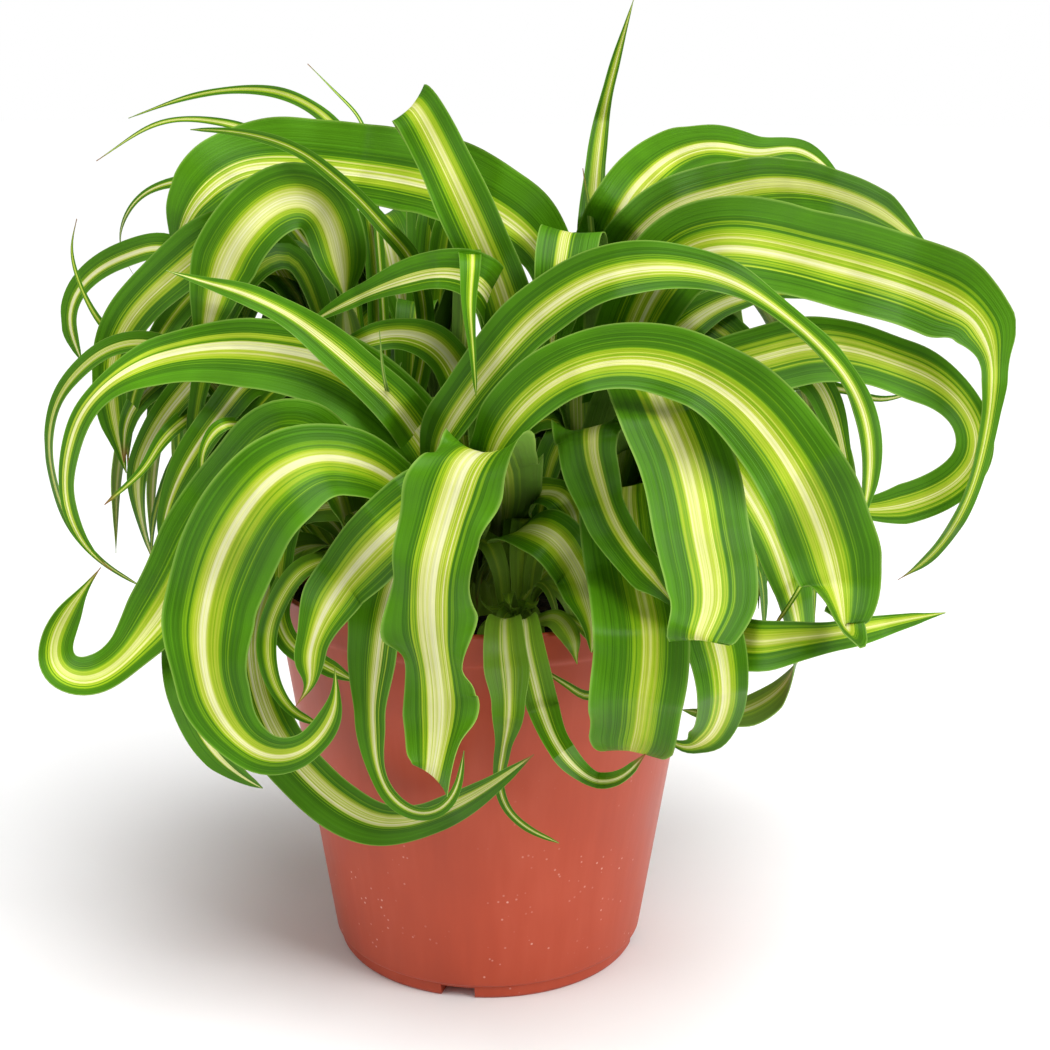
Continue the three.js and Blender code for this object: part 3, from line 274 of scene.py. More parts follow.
# The leaves behind follow a rule, tier over tier: rows of crown, first and last compass heading,
# how many, reach, height of the arch, height of the tip and width. The other numbers say how much
# each leaf may differ, reach and width by a share of themselves or by millimetres.
rear = {
    "rows": [
        ["backLeft", 88, 190, 3, 50, 150, 98, 15],
        ["backRight", -8, 88, 3, 50, 152, 96, 16],
        ["backLeft", 96, 190, 4, 74, 172, 90, 17],
        ["backRight", -4, 84, 4, 72, 170, 94, 18],
        ["backLeft", 90, 184, 5, 94, 198, 92, 19],
        ["backRight", -4, 90, 5, 92, 193, 94, 20],
    ],
    "firstNumber": 0, "rowStep": 40, "leafStep": 5, "heading": 8, "swing": 16,
    "reachShare": 0, "reach": 8, "top": 6, "tip": 24, "widthShare": 0, "width": 4,
    "turns": [0, 0], "twists": (30, 50),
}

# The young leaves inside the clump, by the same rule. They fill its depth between the others.
inner = {
    "rows": [
        ["left", 160, 215, 8, 40, 162, 110, 13],
        ["left", 165, 215, 7, 46, 156, 108, 13],
        ["left", 140, 200, 6, 50, 192, 142, 13],
        ["backLeft", 185, 215, 5, 66, 200, 126, 13],
        ["backLeft", 200, 280, 5, 34, 176, 118, 13],
        ["front", 98, 200, 5, 22, 140, 108, 13],
        ["front", 20, 160, 6, 26, 160, 116, 13],
        ["right", -20, 60, 6, 40, 178, 112, 13],
        ["right", 100, 230, 6, 24, 158, 115, 13],
        ["right", -60, -10, 5, 36, 150, 105, 13],
        ["backRight", -30, 20, 5, 60, 188, 110, 13],
        ["right", -35, 45, 7, 46, 150, 98, 14],
        ["right", -50, 40, 6, 34, 164, 104, 14],
        ["left", 140, 235, 7, 46, 148, 98, 14],
        ["backLeft", 50, 110, 5, 28, 146, 108, 13],
        ["backRight", 80, 140, 5, 28, 144, 108, 13],
        ["backRight", -60, -10, 4, 40, 160, 106, 14],
        ["low", 20, 160, 7, 20, 124, 103, 10],
        ["low", 180, 360, 6, 11, 109, 101, 8],
        ["low", 220, 330, 5, 9, 117, 110, 6],
        ["backLeft", 0, 100, 5, 30, 206, 126, 13],
        ["backLeft", -50, 20, 4, 32, 188, 118, 13],
    ],
    "firstNumber": 500, "rowStep": 50, "leafStep": 6, "heading": 14, "swing": 30,
    "reachShare": 0.5, "reach": 0, "top": 16, "tip": 14, "widthShare": 0.4, "width": 0,
    "turns": [0.2, 0.5], "twists": (40, 60),
}

# The arch of such a leaf: the shares of its reach at which its points lie, of its rise on the way
# up and of its drop on the way down, and how far from the crown's middle it starts
arch = {
    "reach": (0.05, 0.14, 0.36, 0.62, 0.84, 0.97, 1), "rise": (0.35, 0.75),
    "drop": (0.08, 0.36, 0.7), "offset": 3,
}


# Small helpers
def smoothStep(value):
    value = np.clip(value, 0.0, 1.0)
    return value * value * (3 - 2 * value)


def mix(a, b, share):
    return a + (b - a) * share


def unit(vectors):
    return vectors / np.linalg.norm(vectors, axis=-1, keepdims=True)


# A repeatable number from 0 to 1 for each whole number: the tail of a large sine
def drawNumber(index):
    value = math.sin(index * 12.9898 + 4.137) * 43758.5453
    return value - math.floor(value)


# The radius of the pot's tapered wall: from the base radius to the top radius, evenly with height
def wallRadius(height):
    return mix(pot["baseRadius"], pot["topRadius"], height / pot["height"])


# Values spread evenly from 0 to 1, easing from one to the next
def easedSpread(values, share):
    values = np.asarray(values, float)
    place = np.clip(share, 0, 1) * (len(values) - 1)
    index = np.minimum(place.astype(int), len(values) - 2)
    return mix(values[index], values[index + 1], smoothStep(place - index))


# A drawn point slides along its sight line to its depth: eye + (drawn point - eye) times
# the share of the way that the depth lies beyond the drawing plane
def toSpace(drawn):
    eye = view["eye"]
    x, z, depth = np.moveaxis(np.asarray(drawn, float), -1, 0)
    scale = (depth - eye[1]) / -eye[1]
    height = eye[2] + (z + leaf["drawnStart"] - eye[2]) * scale
    return np.stack([eye[0] + (x - eye[0]) * scale, depth, height], -1)


# The way back: a point in space to its drawn point and depth
def toDrawing(points):
    eye = view["eye"]
    x, y, z = np.moveaxis(np.asarray(points, float), -1, 0)
    scale = (y - eye[1]) / -eye[1]
    height = eye[2] + (z - eye[2]) / scale - leaf["drawnStart"]
    return np.stack([eye[0] + (x - eye[0]) / scale, height, y], -1)


# The drawn points of a leaf from its crown on, depths that are left out filled in evenly
def fullPath(place, path):
    base = toDrawing([crown["places"][place][0], crown["places"][place][1], soil["top"] + 1])
    points = [list(base)] + [list(p) for p in path]
    if len(points[-1]) < 3:
        points[-1].append([p[2] for p in points if len(p) == 3][-1])
    known = [i for i, p in enumerate(points) if len(p) == 3]
    depths = np.interp(range(len(points)), known, [points[i][2] for i in known])
    return np.array([[p[0], p[1], d] for p, d in zip(points, depths)])


# A smooth curve through the points, each span a cubic whose end slopes weigh the neighbouring
# spans by the fourth root of their squared lengths, read at even distances along it
def evenStations(points):
    ends = [2 * points[0] - points[1], *points, 2 * points[-1] - points[-2]]
    ends = np.array(ends)
    spans = np.sum(np.diff(ends, axis=0) ** 2, axis=1) ** 0.25
    spans = np.maximum(spans, leaf["leastSpan"])[:, None]
    p0, p1, p2, p3 = ends[:-3], ends[1:-2], ends[2:-1], ends[3:]
    d0, d1, d2 = spans[:-2], spans[1:-1], spans[2:]
    slope1 = ((p1 - p0) / d0 - (p2 - p0) / (d0 + d1) + (p2 - p1) / d1) * d1
    slope2 = ((p2 - p1) / d1 - (p3 - p1) / (d1 + d2) + (p3 - p2) / d2) * d1

    def read(t):
        place = t * (len(points) - 1)
        i = np.minimum(place.astype(int), len(points) - 2)
        w = (place - i)[:, None]
        bend = -3 * p1[i] + 3 * p2[i] - 2 * slope1[i] - slope2[i]
        turn = 2 * p1[i] - 2 * p2[i] + slope1[i] + slope2[i]
        return p1[i] + slope1[i] * w + bend * w ** 2 + turn * w ** 3

    marks = np.linspace(0, 1, leaf["marks"])
    steps = np.linalg.norm(np.diff(read(marks), axis=0), axis=1)
    lengths = np.concatenate([[0], np.cumsum(steps)])
    wanted = np.linspace(0, lengths[-1], leaf["stations"] + 1)
    return read(np.interp(wanted, lengths, marks))


# The drawn stations of a leaf, its kinks blurred out a few times with weights 1, 2, 1
def drawnStations(points):
    stations = evenStations(points)
    for _ in range(leaf["blurs"]):
        middle = (stations[:-2] + 2 * stations[1:-1] + stations[2:]) / 4
        stations = np.vstack([stations[:1], middle, stations[-1:]])
    return stations


# How far a blade would turn about its length for its upper face to look at the viewer. It fades
# out where the leaf points at the viewer and where its underside looks at them.
def turnToViewer(at, along, carried, face):
    look = unit(np.array(view["eye"]) - at)
    look = look - along * np.sum(look * along, axis=1, keepdims=True)
    angle = np.arctan2(-np.sum(look * carried, axis=1), np.sum(look * face, axis=1))
    kept = np.minimum(1, (math.pi - np.abs(angle)) / leaf["turnFade"])
    return angle * kept * smoothStep(np.sum(look * look, axis=1) / leaf["endOn"])


# The mean of the values from some places before to some places after each one
def runningMean(values, reach):
    spans = [values[max(0, i - reach):i + reach + 1] for i in range(len(values))]
    return np.array([span.mean() for span in spans])


# The frame of a leaf at each station: along it, across the blade and out of its upper face.
# The side vector is carried along without twist and then turned: side cos(turn) + face sin(turn)
def leafFrames(one):
    at = toSpace(one["drawn"])
    away = np.hypot(at[:, 0] - at[0, 0], at[:, 1] - at[0, 1])
    far = at[np.argmax(away)] - at[0]
    heading = far[:2] / np.hypot(far[0], far[1])
    last = len(at) - 1
    ahead = np.minimum(np.arange(last + 1) + 1, last)
    behind = np.maximum(np.arange(last + 1) - 1, 0)
    along = unit(at[ahead] - at[behind])
    carried = np.zeros_like(at)
    side = np.array([-heading[1], heading[0], 0.0])
    for i, direction in enumerate(along):
        side = side - direction * side.dot(direction)
        side = side / math.sqrt(side.dot(side))
        carried[i] = side
    face = np.cross(along, carried)
    share = np.linspace(0, 1, last + 1)
    toViewer = runningMean(turnToViewer(at, along, carried, face), leaf["turnReach"])
    turn = easedSpread(one["turns"], share) * toViewer
    turn = turn + np.radians(easedSpread(one["twists"], share))
    across = carried * np.cos(turn)[:, None] + face * np.sin(turn)[:, None]
    steps = np.linalg.norm(np.diff(at, axis=0), axis=1)
    fromBase = np.concatenate([[0], np.cumsum(steps)])
    stalk = mix(leaf["stalkShare"], 1, smoothStep(fromBase / leaf["stalkLength"]))
    half = stalk * easedSpread(one["widths"], share) / 2
    tipReach = leaf["tipLength"] * max(1, half[-leaf["tipStations"]:].max())
    half = half * np.clip((fromBase[-1] - fromBase) / tipReach, 0, 1) ** leaf["tipPower"]
    fold = leaf["foldShare"]
    channel = half * mix(leaf["baseFold"] * fold, fold, smoothStep(share * leaf["foldEase"]))
    return {"at": at, "from": fromBase, "along": along, "across": across,
            "up": np.cross(along, across), "half": half, "channel": channel}


# Leaves are laid clear of each other on a grid of cells over the drawing plane. The pot is marked
# over its reach, with a margin. A leaf is sampled across, keeps a gap and leaves its base free. It
# is pushed in a few rounds until the need is small enough, each push spread over a window of
# stations and eased in from its start over its span.
clearing = {
    "cell": 3.0, "left": -180.0, "right": 200.0, "low": -40.0, "high": 290.0,
    "potReach": 66, "potMargin": 1.0, "sample": 1.6, "gap": 3.6, "freeBase": 32.0,
    "rounds": 3, "window": 5, "enough": 0.05, "start": 10.0, "span": 20.0,
}
gridColumns = math.ceil((clearing["right"] - clearing["left"]) / clearing["cell"])
gridRows = math.ceil((clearing["high"] - clearing["low"]) / clearing["cell"])
nearest = np.full(gridColumns * gridRows, np.inf)  # the nearest depth used so far in each cell


# The number of the cell that a drawn point lies in, or -1 at the border and beyond it
def cellOf(x, z):
    column = np.floor((x - clearing["left"]) / clearing["cell"]).astype(int)
    row = np.floor((z - clearing["low"]) / clearing["cell"]).astype(int)
    inside = (column >= 1) & (row >= 1) & (column <= gridColumns - 2) & (row <= gridRows - 2)
    return np.where(inside, row * gridColumns + column, -1)


# The depth at which each sight line first meets the wall of the pot or the soil
def markPot():
    column, row = np.meshgrid(np.arange(gridColumns), np.arange(gridRows))
    x = (clearing["left"] + (column + 0.5) * clearing["cell"]).ravel()
    z = (clearing["low"] + (row + 0.5) * clearing["cell"]).ravel()
    for depth in range(clearing["potReach"], -clearing["potReach"] - 1, -1):
        points = toSpace(np.stack([x, z, np.full_like(x, depth)], -1))
        height = points[:, 2]
        outer = wallRadius(height) + pot["rimProud"]
        radius = np.hypot(points[:, 0], points[:, 1])
        inside = (height >= 0) & (height <= pot["height"]) & (radius < outer)
        inside &= (height < soil["top"]) | (radius > outer - pot["wall"] - clearing["potMargin"])
        nearest[inside] = depth


# The drawn points across each station of a leaf, at shares -1 to 1, and which of them count
def acrossSamples(shape):
    count = np.maximum(1, np.ceil(shape["half"] / clearing["sample"])).astype(int)[:, None]
    k = np.arange(-count.max(), count.max() + 1)[None, :]
    v = (k / count)[..., None]
    points = shape["at"][:, None] + shape["across"][:, None] * v * shape["half"][:, None, None]
    points = points + shape["up"][:, None] * shape["channel"][:, None, None] * v * v
    return toDrawing(points), np.abs(k) <= count


# Marks the cells that a stretch of a leaf covers, and those beside them
def markLeaf(one, first, last):
    drawn, counts = acrossSamples(leafFrames(one))
    counts[:first] = False
    counts[last + 1:] = False
    index = cellOf(drawn[..., 0], drawn[..., 1])
    counts = counts & (index >= 0)
    for move in (0, 1, -1, gridColumns, -gridColumns):
        np.minimum.at(nearest, index[counts] + move, drawn[..., 2][counts])


# Slides a leaf along its sight lines towards the viewer until the stretch that is seen lies clear
# of all that was laid before it. The push is the running mean of its running maximum.
def layClear(one):
    last, window = leaf["stations"], clearing["window"]
    near = [range(max(0, i - window), min(last, i + window) + 1) for i in range(last + 1)]
    for _ in range(clearing["rounds"]):
        shape = leafFrames(one)
        drawn, counts = acrossSamples(shape)
        index = cellOf(drawn[..., 0], drawn[..., 1])
        need = drawn[..., 2] - nearest[index] + clearing["gap"]
        need = np.maximum(np.where(counts & (index >= 0), need, 0).max(axis=1), 0)
        need = need * smoothStep((shape["from"] - clearing["freeBase"]) / clearing["freeBase"])
        need[:one["seenFrom"]] = 0
        if need.max() < clearing["enough"]:
            break
        widened = np.array([need[near[i]].max() for i in range(len(need))])
        push = np.array([widened[near[i]].mean() for i in range(len(need))])
        ease = smoothStep((shape["from"] - clearing["start"]) / clearing["span"])
        one["drawn"][:, 2] -= push * ease
    markLeaf(one, one["seenFrom"], last)


# A leaf from its row: widths and turns from base to tip, and the first station that is in sight
def makeLeaf(place, width, turns, hidden, path, twists=(0, 0)):
    widths = width if isinstance(width, list) else [width * w for w in leaf["plainWidths"]]
    points = fullPath(place, path)
    drawn = drawnStations(points)
    steps = np.linalg.norm(drawn - points[hidden + 1], axis=1)
    return {"crown": place, "widths": widths, "turns": turns, "twists": twists, "drawn": drawn,
            "seenFrom": int(np.argmin(steps)), "inner": False, "order": None}


# A leaf by rule as drawn points: an arch that rises from its crown, leans out and hangs
def archPath(place, heading, swing, reach, top, tip):
    share = np.array(arch["reach"])
    height = np.array([soil["top"] + up * (top - soil["top"]) for up in arch["rise"]]
                      + [top] + [top - down * (top - tip) for down in arch["drop"]] + [tip])
    angle = np.radians(heading + swing * share)
    away = arch["offset"] + reach * share
    x = crown["places"][place][0] + np.cos(angle) * away
    y = crown["places"][place][1] + np.sin(angle) * away
    return toDrawing(np.stack([x, y, height], -1))


# The leaves of a rule: its rows spread over their headings, each leaf with its seeded differences
def ruledLeaves(rule):
    leaves = []
    for row, (place, first, last, count, reach, top, tip, width) in enumerate(rule["rows"]):
        for k in range(count):
            number = rule["firstNumber"] + row * rule["rowStep"] + k * rule["leafStep"]
            turn, swing, far, high, low, broad = (drawNumber(number + n) - 0.5 for n in range(6))
            heading = mix(first, last, (k + 0.5) / count) + turn * rule["heading"]
            reached = reach * (1 + far * rule["reachShare"]) + far * rule["reach"]
            path = archPath(place, heading, swing * rule["swing"], reached,
                            top + high * rule["top"], tip + low * rule["tip"])
            wide = width * (1 + broad * rule["widthShare"]) + far * rule["width"]
            twists = [swing * rule["twists"][0], low * rule["twists"][1]]
            leaves.append(makeLeaf(place, wide, rule["turns"], 1, path, twists))
    return leaves


markPot()
rearOnes = ruledLeaves(rear)
for one in rearOnes:
    markLeaf(one, 0, leaf["stations"])
drawnOnes = [makeLeaf(*row) for row in drawnLeaves]
for one in drawnOnes:
    markLeaf(one, 0, one["seenFrom"] - 1)
for order, one in enumerate(drawnOnes):
    layClear(one)
    one["order"] = order
innerOnes = ruledLeaves(inner)
for one in innerOnes:
    one["inner"] = True
allLeaves = rearOnes + drawnOnes + innerOnes
print("leaves laid out:", len(rearOnes), "behind,", len(drawnOnes), "drawn,",
      len(innerOnes), "inside")


# How a blade is made: its thickness in the middle and at the edge, rows along it, points to each
# side of the middle by its widest half width, and the waves of its two edges. Wavy leaves are
# named by their place in the table, and their waves are shares of the half width.
blade = {
    "middle": 0.6, "edge": 0.26, "tipThick": 0.15, "fullHalf": 2.5, "keel": 1.35,
    "step": 1.5, "innerStep": 2.2, "leastRows": 24, "leastHalf": 0.12,
    "sides": ((6.5, 7), (3.0, 5), (0.0, 3)), "spacing": 0.92,
    "waveShare": 0.06, "leastWave": 0.4, "wavy": {59: 0.24, 46: 0.30, 45: 0.12, 47: 0.04},
    "waveLength": 34.0, "shortest": 0.8, "longer": 0.5,
    "leftTurns": (1, 1.7), "rightTurns": (1.1, 1.9), "quickShare": 0.5, "phase": 6.3,
    "waveStart": 25.0, "waveSpan": 50.0, "tipWave": 0.35, "tipSpan": 40.0,
}

# How each leaf looks. The stripes are shares of the half width: the cream heart, the lime bands
# beside it, and how far the heart is off the middle. Some leaves add to the cream and the lime:
# inner ones, and narrow ones up to a widest half width. The inner ones are also darker, as painted
# shade deep in the clump. The ones that hang low, before the pot, are older, with a sharper stripe,
# and darker, partly with age and partly as painted shade.
looks = {
    "creamShares": (-0.17, 0.0), "creamPower": 1.3, "limeShares": (0.50, 1.0),
    "mostShift": 0.18, "shifts": {15: 0.28, 8: -0.12},
    "inner": (-0.3, -0.05), "narrow": ((3.3, -0.05, 0.1), (5.0, 0.08, 0.05)), "innerShadeTone": 0.15,
    "lowLine": 112.0, "lowSpan": 30.0, "lowShadeAndAgeTone": 0.7, "oldCream": 0.03, "oldLime": -0.18,
    "dryTips": 0.3, "dryLength": 6.0, "seedSpan": 40,
}


# Values at places between the stations: a cubic through them whose slope at each station is half
# the step from the one before to the one after
def readBetween(rows, places):
    i = np.minimum(places.astype(int), len(rows) - 2)
    w = (places - i)[:, None]
    p0, p1 = rows[np.maximum(i - 1, 0)], rows[i]
    p2, p3 = rows[i + 1], rows[np.minimum(i + 2, len(rows) - 1)]
    return p1 + 0.5 * w * (p2 - p0 + w * (2 * p0 - 5 * p1 + 4 * p2 - p3
                                          + w * (3 * (p1 - p2) + p3 - p0)))


# The waves of one edge: a sine and a quicker, lower one, each from its own seeded start
def edgeWave(turns, rates, slowSeed, quickSeed):
    slow = np.sin(rates[0] * turns + blade["phase"] * slowSeed)
    return slow + blade["quickShare"] * np.sin(rates[1] * turns + blade["phase"] * quickSeed)


# The stripe of a leaf: the shares of its cream heart and lime bands, how far the heart is off the
# middle, and how light the leaf is, darker as painted shade for inner leaves and partly so for
# low-hanging ones
def leafStripe(one, seeds, widest, height):
    cream = mix(*looks["creamShares"], seeds[6] ** looks["creamPower"])
    lime = mix(*looks["limeShares"], seeds[7])
    shift = looks["shifts"].get(one["order"], (seeds[8] - 0.5) * 2 * looks["mostShift"])
    narrow = [row[1:] for row in looks["narrow"] if widest < row[0]] + [(0, 0)]
    creamMore, limeMore = looks["inner"] if one["inner"] else narrow[0]
    # how low the leaf hangs: it darkens low leaves, partly with age and partly as painted shade,
    # and sharpens their stripe
    hangsLow = smoothStep((looks["lowLine"] - height) / looks["lowSpan"])
    # inner leaves take a low tone as painted shade deep in the clump
    tone = (looks["innerShadeTone"] if one["inner"] else seeds[2]) * (1 - looks["lowShadeAndAgeTone"] * hangsLow)
    cream, lime = cream + creamMore, lime + limeMore
    return cream + looks["oldCream"] * hangsLow, lime + looks["oldLime"] * hangsLow, shift, tone


# The surface of a leaf: at(s) + across(s) v half(s) + up(s) (fold(s) |v|^keel + waves(s, v) + t),
# where v goes round the blade, over the upper face from -1 to 1 and back under it, and t is half
# the thickness. The waves are sines along the leaf that grow with |v|^3 towards each edge.
def leafSurface(one, number):
    shape = leafFrames(one)
    length = shape["from"][-1]
    step = blade["step"] * (blade["innerStep"] if one["inner"] else 1)
    places = np.linspace(0, leaf["stations"], int(max(blade["leastRows"], length / step)))
    rows = np.column_stack([shape["at"], shape["across"], shape["up"], shape["half"],
                            shape["channel"], shape["from"]])
    fine = readBetween(rows, places)
    at, across, up = fine[:, 0:3], unit(fine[:, 3:6]), unit(fine[:, 6:9])
    half, channel, fromBase = fine[:, 9], fine[:, 10], fine[:, 11]
    toTip = length - fromBase
    half = np.maximum(half, blade["leastHalf"])
    widest = half.max()
    sides = next(count for least, count in blade["sides"] if widest > least)
    v = np.sin(np.linspace(-1, 1, 2 * sides + 1) * math.pi / 2)
    v = np.sign(v) * np.abs(v) ** blade["spacing"]
    around = np.concatenate([v, v[::-1]])
    face = np.concatenate([np.ones(len(v)), -np.ones(len(v))])
    thick = mix(blade["middle"], blade["edge"], np.abs(around)) * face / 2
    seeds = [drawNumber(number * 9 + k) for k in range(9)]
    wave = blade["wavy"].get(one["order"], blade["waveShare"] * (blade["leastWave"] + seeds[0]))
    waveLength = blade["waveLength"] * (blade["shortest"] + blade["longer"] * seeds[1])
    turns = 2 * math.pi * fromBase / waveLength
    grow = smoothStep((fromBase - blade["waveStart"]) / blade["waveSpan"])
    grow = grow * mix(blade["tipWave"], 1, smoothStep(toTip / blade["tipSpan"]))
    left = edgeWave(turns, blade["leftTurns"], seeds[2], seeds[3])
    right = edgeWave(turns, blade["rightTurns"], seeds[4], seeds[5])
    lift = np.where(around[None] < 0, left[:, None], right[:, None]) * np.abs(around[None]) ** 3
    lift = lift * (wave * half * grow)[:, None]
    fold = channel[:, None] * np.abs(around[None]) ** blade["keel"]
    thin = np.minimum(1, blade["tipThick"] + half / blade["fullHalf"])[:, None]
    points = (at[:, None] + across[:, None] * (around[None] * half[:, None])[..., None]
              + up[:, None] * (fold + lift + thick[None] * thin)[..., None])
    points = np.clip(points, solidBox[0], solidBox[1])
    cream, lime, shift, tone = leafStripe(one, seeds, widest, at[:, 2].mean())
    dry = (seeds[0] < looks["dryTips"]) * smoothStep(1 - toTip / looks["dryLength"])
    return points, {
        "acrossLeaf": around[None], "alongLeaf": (fromBase / decimetre)[:, None],
        "leafSeed": seeds[3] * looks["seedSpan"], "creamShare": cream, "limeShare": lime,
        "stripeShift": shift, "underside": face[None] < 0, "dryTip": dry[:, None],
        "veins": widest, "leafToneAndShade": tone,
    }


# The neck of a crown: rows and points round it, how far it keeps inside the solid's neck, the
# sheaths of leaf bases round it, the share of its height that is the dome, and its own colours
neck = {
    "rows": 26, "around": 72, "inset": 0.4, "sheaths": 9, "swell": 0.10, "twist": 2, "dome": 0.2,
    "leastSquare": 0.0004, "across": 0.6, "along": 0.1, "cream": -0.6, "lime": 0.3, "veins": 6,
}


# The neck that the leaves of a crown rise from: its radius eases in from the soil to the top and
# swells in sheaths round it, and it closes in a low dome
def neckSurface(place):
    x, y = crown["places"][place]
    inset, dome = neck["inset"], neck["dome"]
    share = np.linspace(0, 1, neck["rows"])[:, None]
    angle = np.linspace(0, 2 * math.pi, neck["around"], endpoint=False)[None]
    bottom, top = soil["top"] - crown["sink"] + inset, soil["top"] + crown["rise"] - inset
    height = bottom + (top - bottom) * share + 0 * angle
    radius = mix(crown["radius"], crown["neck"], share) - inset
    inDome = np.clip((share - (1 - dome)) / dome, 0, 1)
    radius = radius * np.sqrt(np.clip(1 - inDome ** 2, neck["leastSquare"], 1))
    swell = np.cos(neck["sheaths"] * angle + neck["twist"] * share)
    radius = radius * (1 + neck["swell"] * swell)
    points = np.stack([x + radius * np.cos(angle), y + radius * np.sin(angle), height], -1)
    return points, {
        "acrossLeaf": np.sin(neck["sheaths"] * angle) * neck["across"], "alongLeaf": neck["along"],
        "leafSeed": drawNumber(len(place)) * looks["seedSpan"], "creamShare": neck["cream"],
        "limeShare": neck["lime"], "stripeShift": 0, "underside": 0, "dryTip": 0,
        "veins": neck["veins"], "leafToneAndShade": 0,
    }


# One mesh from several grids of points. Each grid is closed round its rows, and its two ends are
# closed with a fan of triangles. The values of each grid become attributes of the points.
def gridMesh(name, grids, sharpAngle=None):
    points, attributes, quads, fans, start = [], {}, [], [], 0
    for grid, values in grids:
        rows, columns = grid.shape[:2]
        points.append(grid.reshape(-1, 3))
        for key, value in values.items():
            spread = np.broadcast_to(value, (rows, columns)).reshape(-1)
            attributes.setdefault(key, []).append(spread)
        index = start + np.arange(rows * columns).reshape(rows, columns)
        ahead = np.roll(index, -1, axis=1)
        quads.append(np.stack([index[:-1], ahead[:-1], ahead[1:], index[1:]], -1).reshape(-1, 4))
        first, last = index[0], index[-1]
        k = np.arange(1, columns - 1)
        fans.append(np.stack([np.full(len(k), first[0]), first[k + 1], first[k]], -1))
        fans.append(np.stack([np.full(len(k), last[0]), last[k], last[k + 1]], -1))
        start += rows * columns
    points = np.concatenate(points) * millimetre
    quads, fans = np.concatenate(quads), np.concatenate(fans)
    mesh = bpy.data.meshes.new(name)
    mesh.vertices.add(len(points))
    mesh.vertices.foreach_set("co", points.astype(np.float32).ravel())
    mesh.loops.add(quads.size + fans.size)
    mesh.loops.foreach_set("vertex_index", np.concatenate([quads.ravel(), fans.ravel()]))
    mesh.polygons.add(len(quads) + len(fans))
    sizes = np.concatenate([np.full(len(quads), 4), np.full(len(fans), 3)])
    mesh.polygons.foreach_set("loop_start", np.concatenate([[0], np.cumsum(sizes)[:-1]]))
    for key, value in attributes.items():
        layer = mesh.attributes.new(key, "FLOAT", "POINT")
        layer.data.foreach_set("value", np.concatenate(value).astype(np.float32))
    mesh.update(calc_edges=True)
    mesh.polygons.foreach_set("use_smooth", np.ones(len(mesh.polygons), bool))
    if sharpAngle:
        mesh.set_sharp_from_angle(angle=math.radians(sharpAngle))
    piece = bpy.data.objects.new(name, mesh)
    bpy.context.scene.collection.objects.link(piece)
    return piece


# The fine shape of the pot. A curve rounds a corner with rows of: where the wall is read above the
# corner, how far outside it the point lies, and how high above the corner. A run is a row of even
# heights between two corners: how far from the first and from the last, and how many.
potShape = {
    "around": 288, "discs": (0.02, 12, 24), "floorDiscs": (12, 0.02), "soleInset": 2.2,
    "notchRings": (-1, -0.15, 0.15, 1), "soleCurve": ((-0.9, 0), (-0.45, 0.12), (-0.2, 0.45)),
    "footEnd": 0.15, "stepCurve": ((0, -0.2, 0.25), (0.6, 0, 0.7), (1.2, 0, 1.3)),
    "bandCurve": ((0, 0.05, -0.1), (0, 0.3, 0.3), (1, pot["rimProud"], 0.9)),
    "runs": {"foot": (0.9, 0.5, 6), "wall": (4, 0.6, 26), "rim": (2, 1.1, 5),
             "inside": (2, 1.5, 20)},
    "rimHalf": 0.95, "rimRise": 0.6, "rimPoints": 9,
    "shelfInset": 0.5, "cornerRise": 0.2, "slopeInsets": (1, 2),
    "notchCuts": (-0.006, -0.002, 0.002, 0.006), "notchSide": 0.002, "notchEnd": 0.15,
}


# The points of a curve of the pot's profile over a corner at some height
def curveAt(corner, rows):
    return [(wallRadius(corner + read) + out, corner + rise) for read, out, rise in rows]


# The heights of a run of the pot's profile from one corner up or down to another
def runBetween(first, last, name):
    start, stop, count = potShape["runs"][name]
    way = 1 if last > first else -1
    return np.linspace(first + way * start, last - way * stop, count)


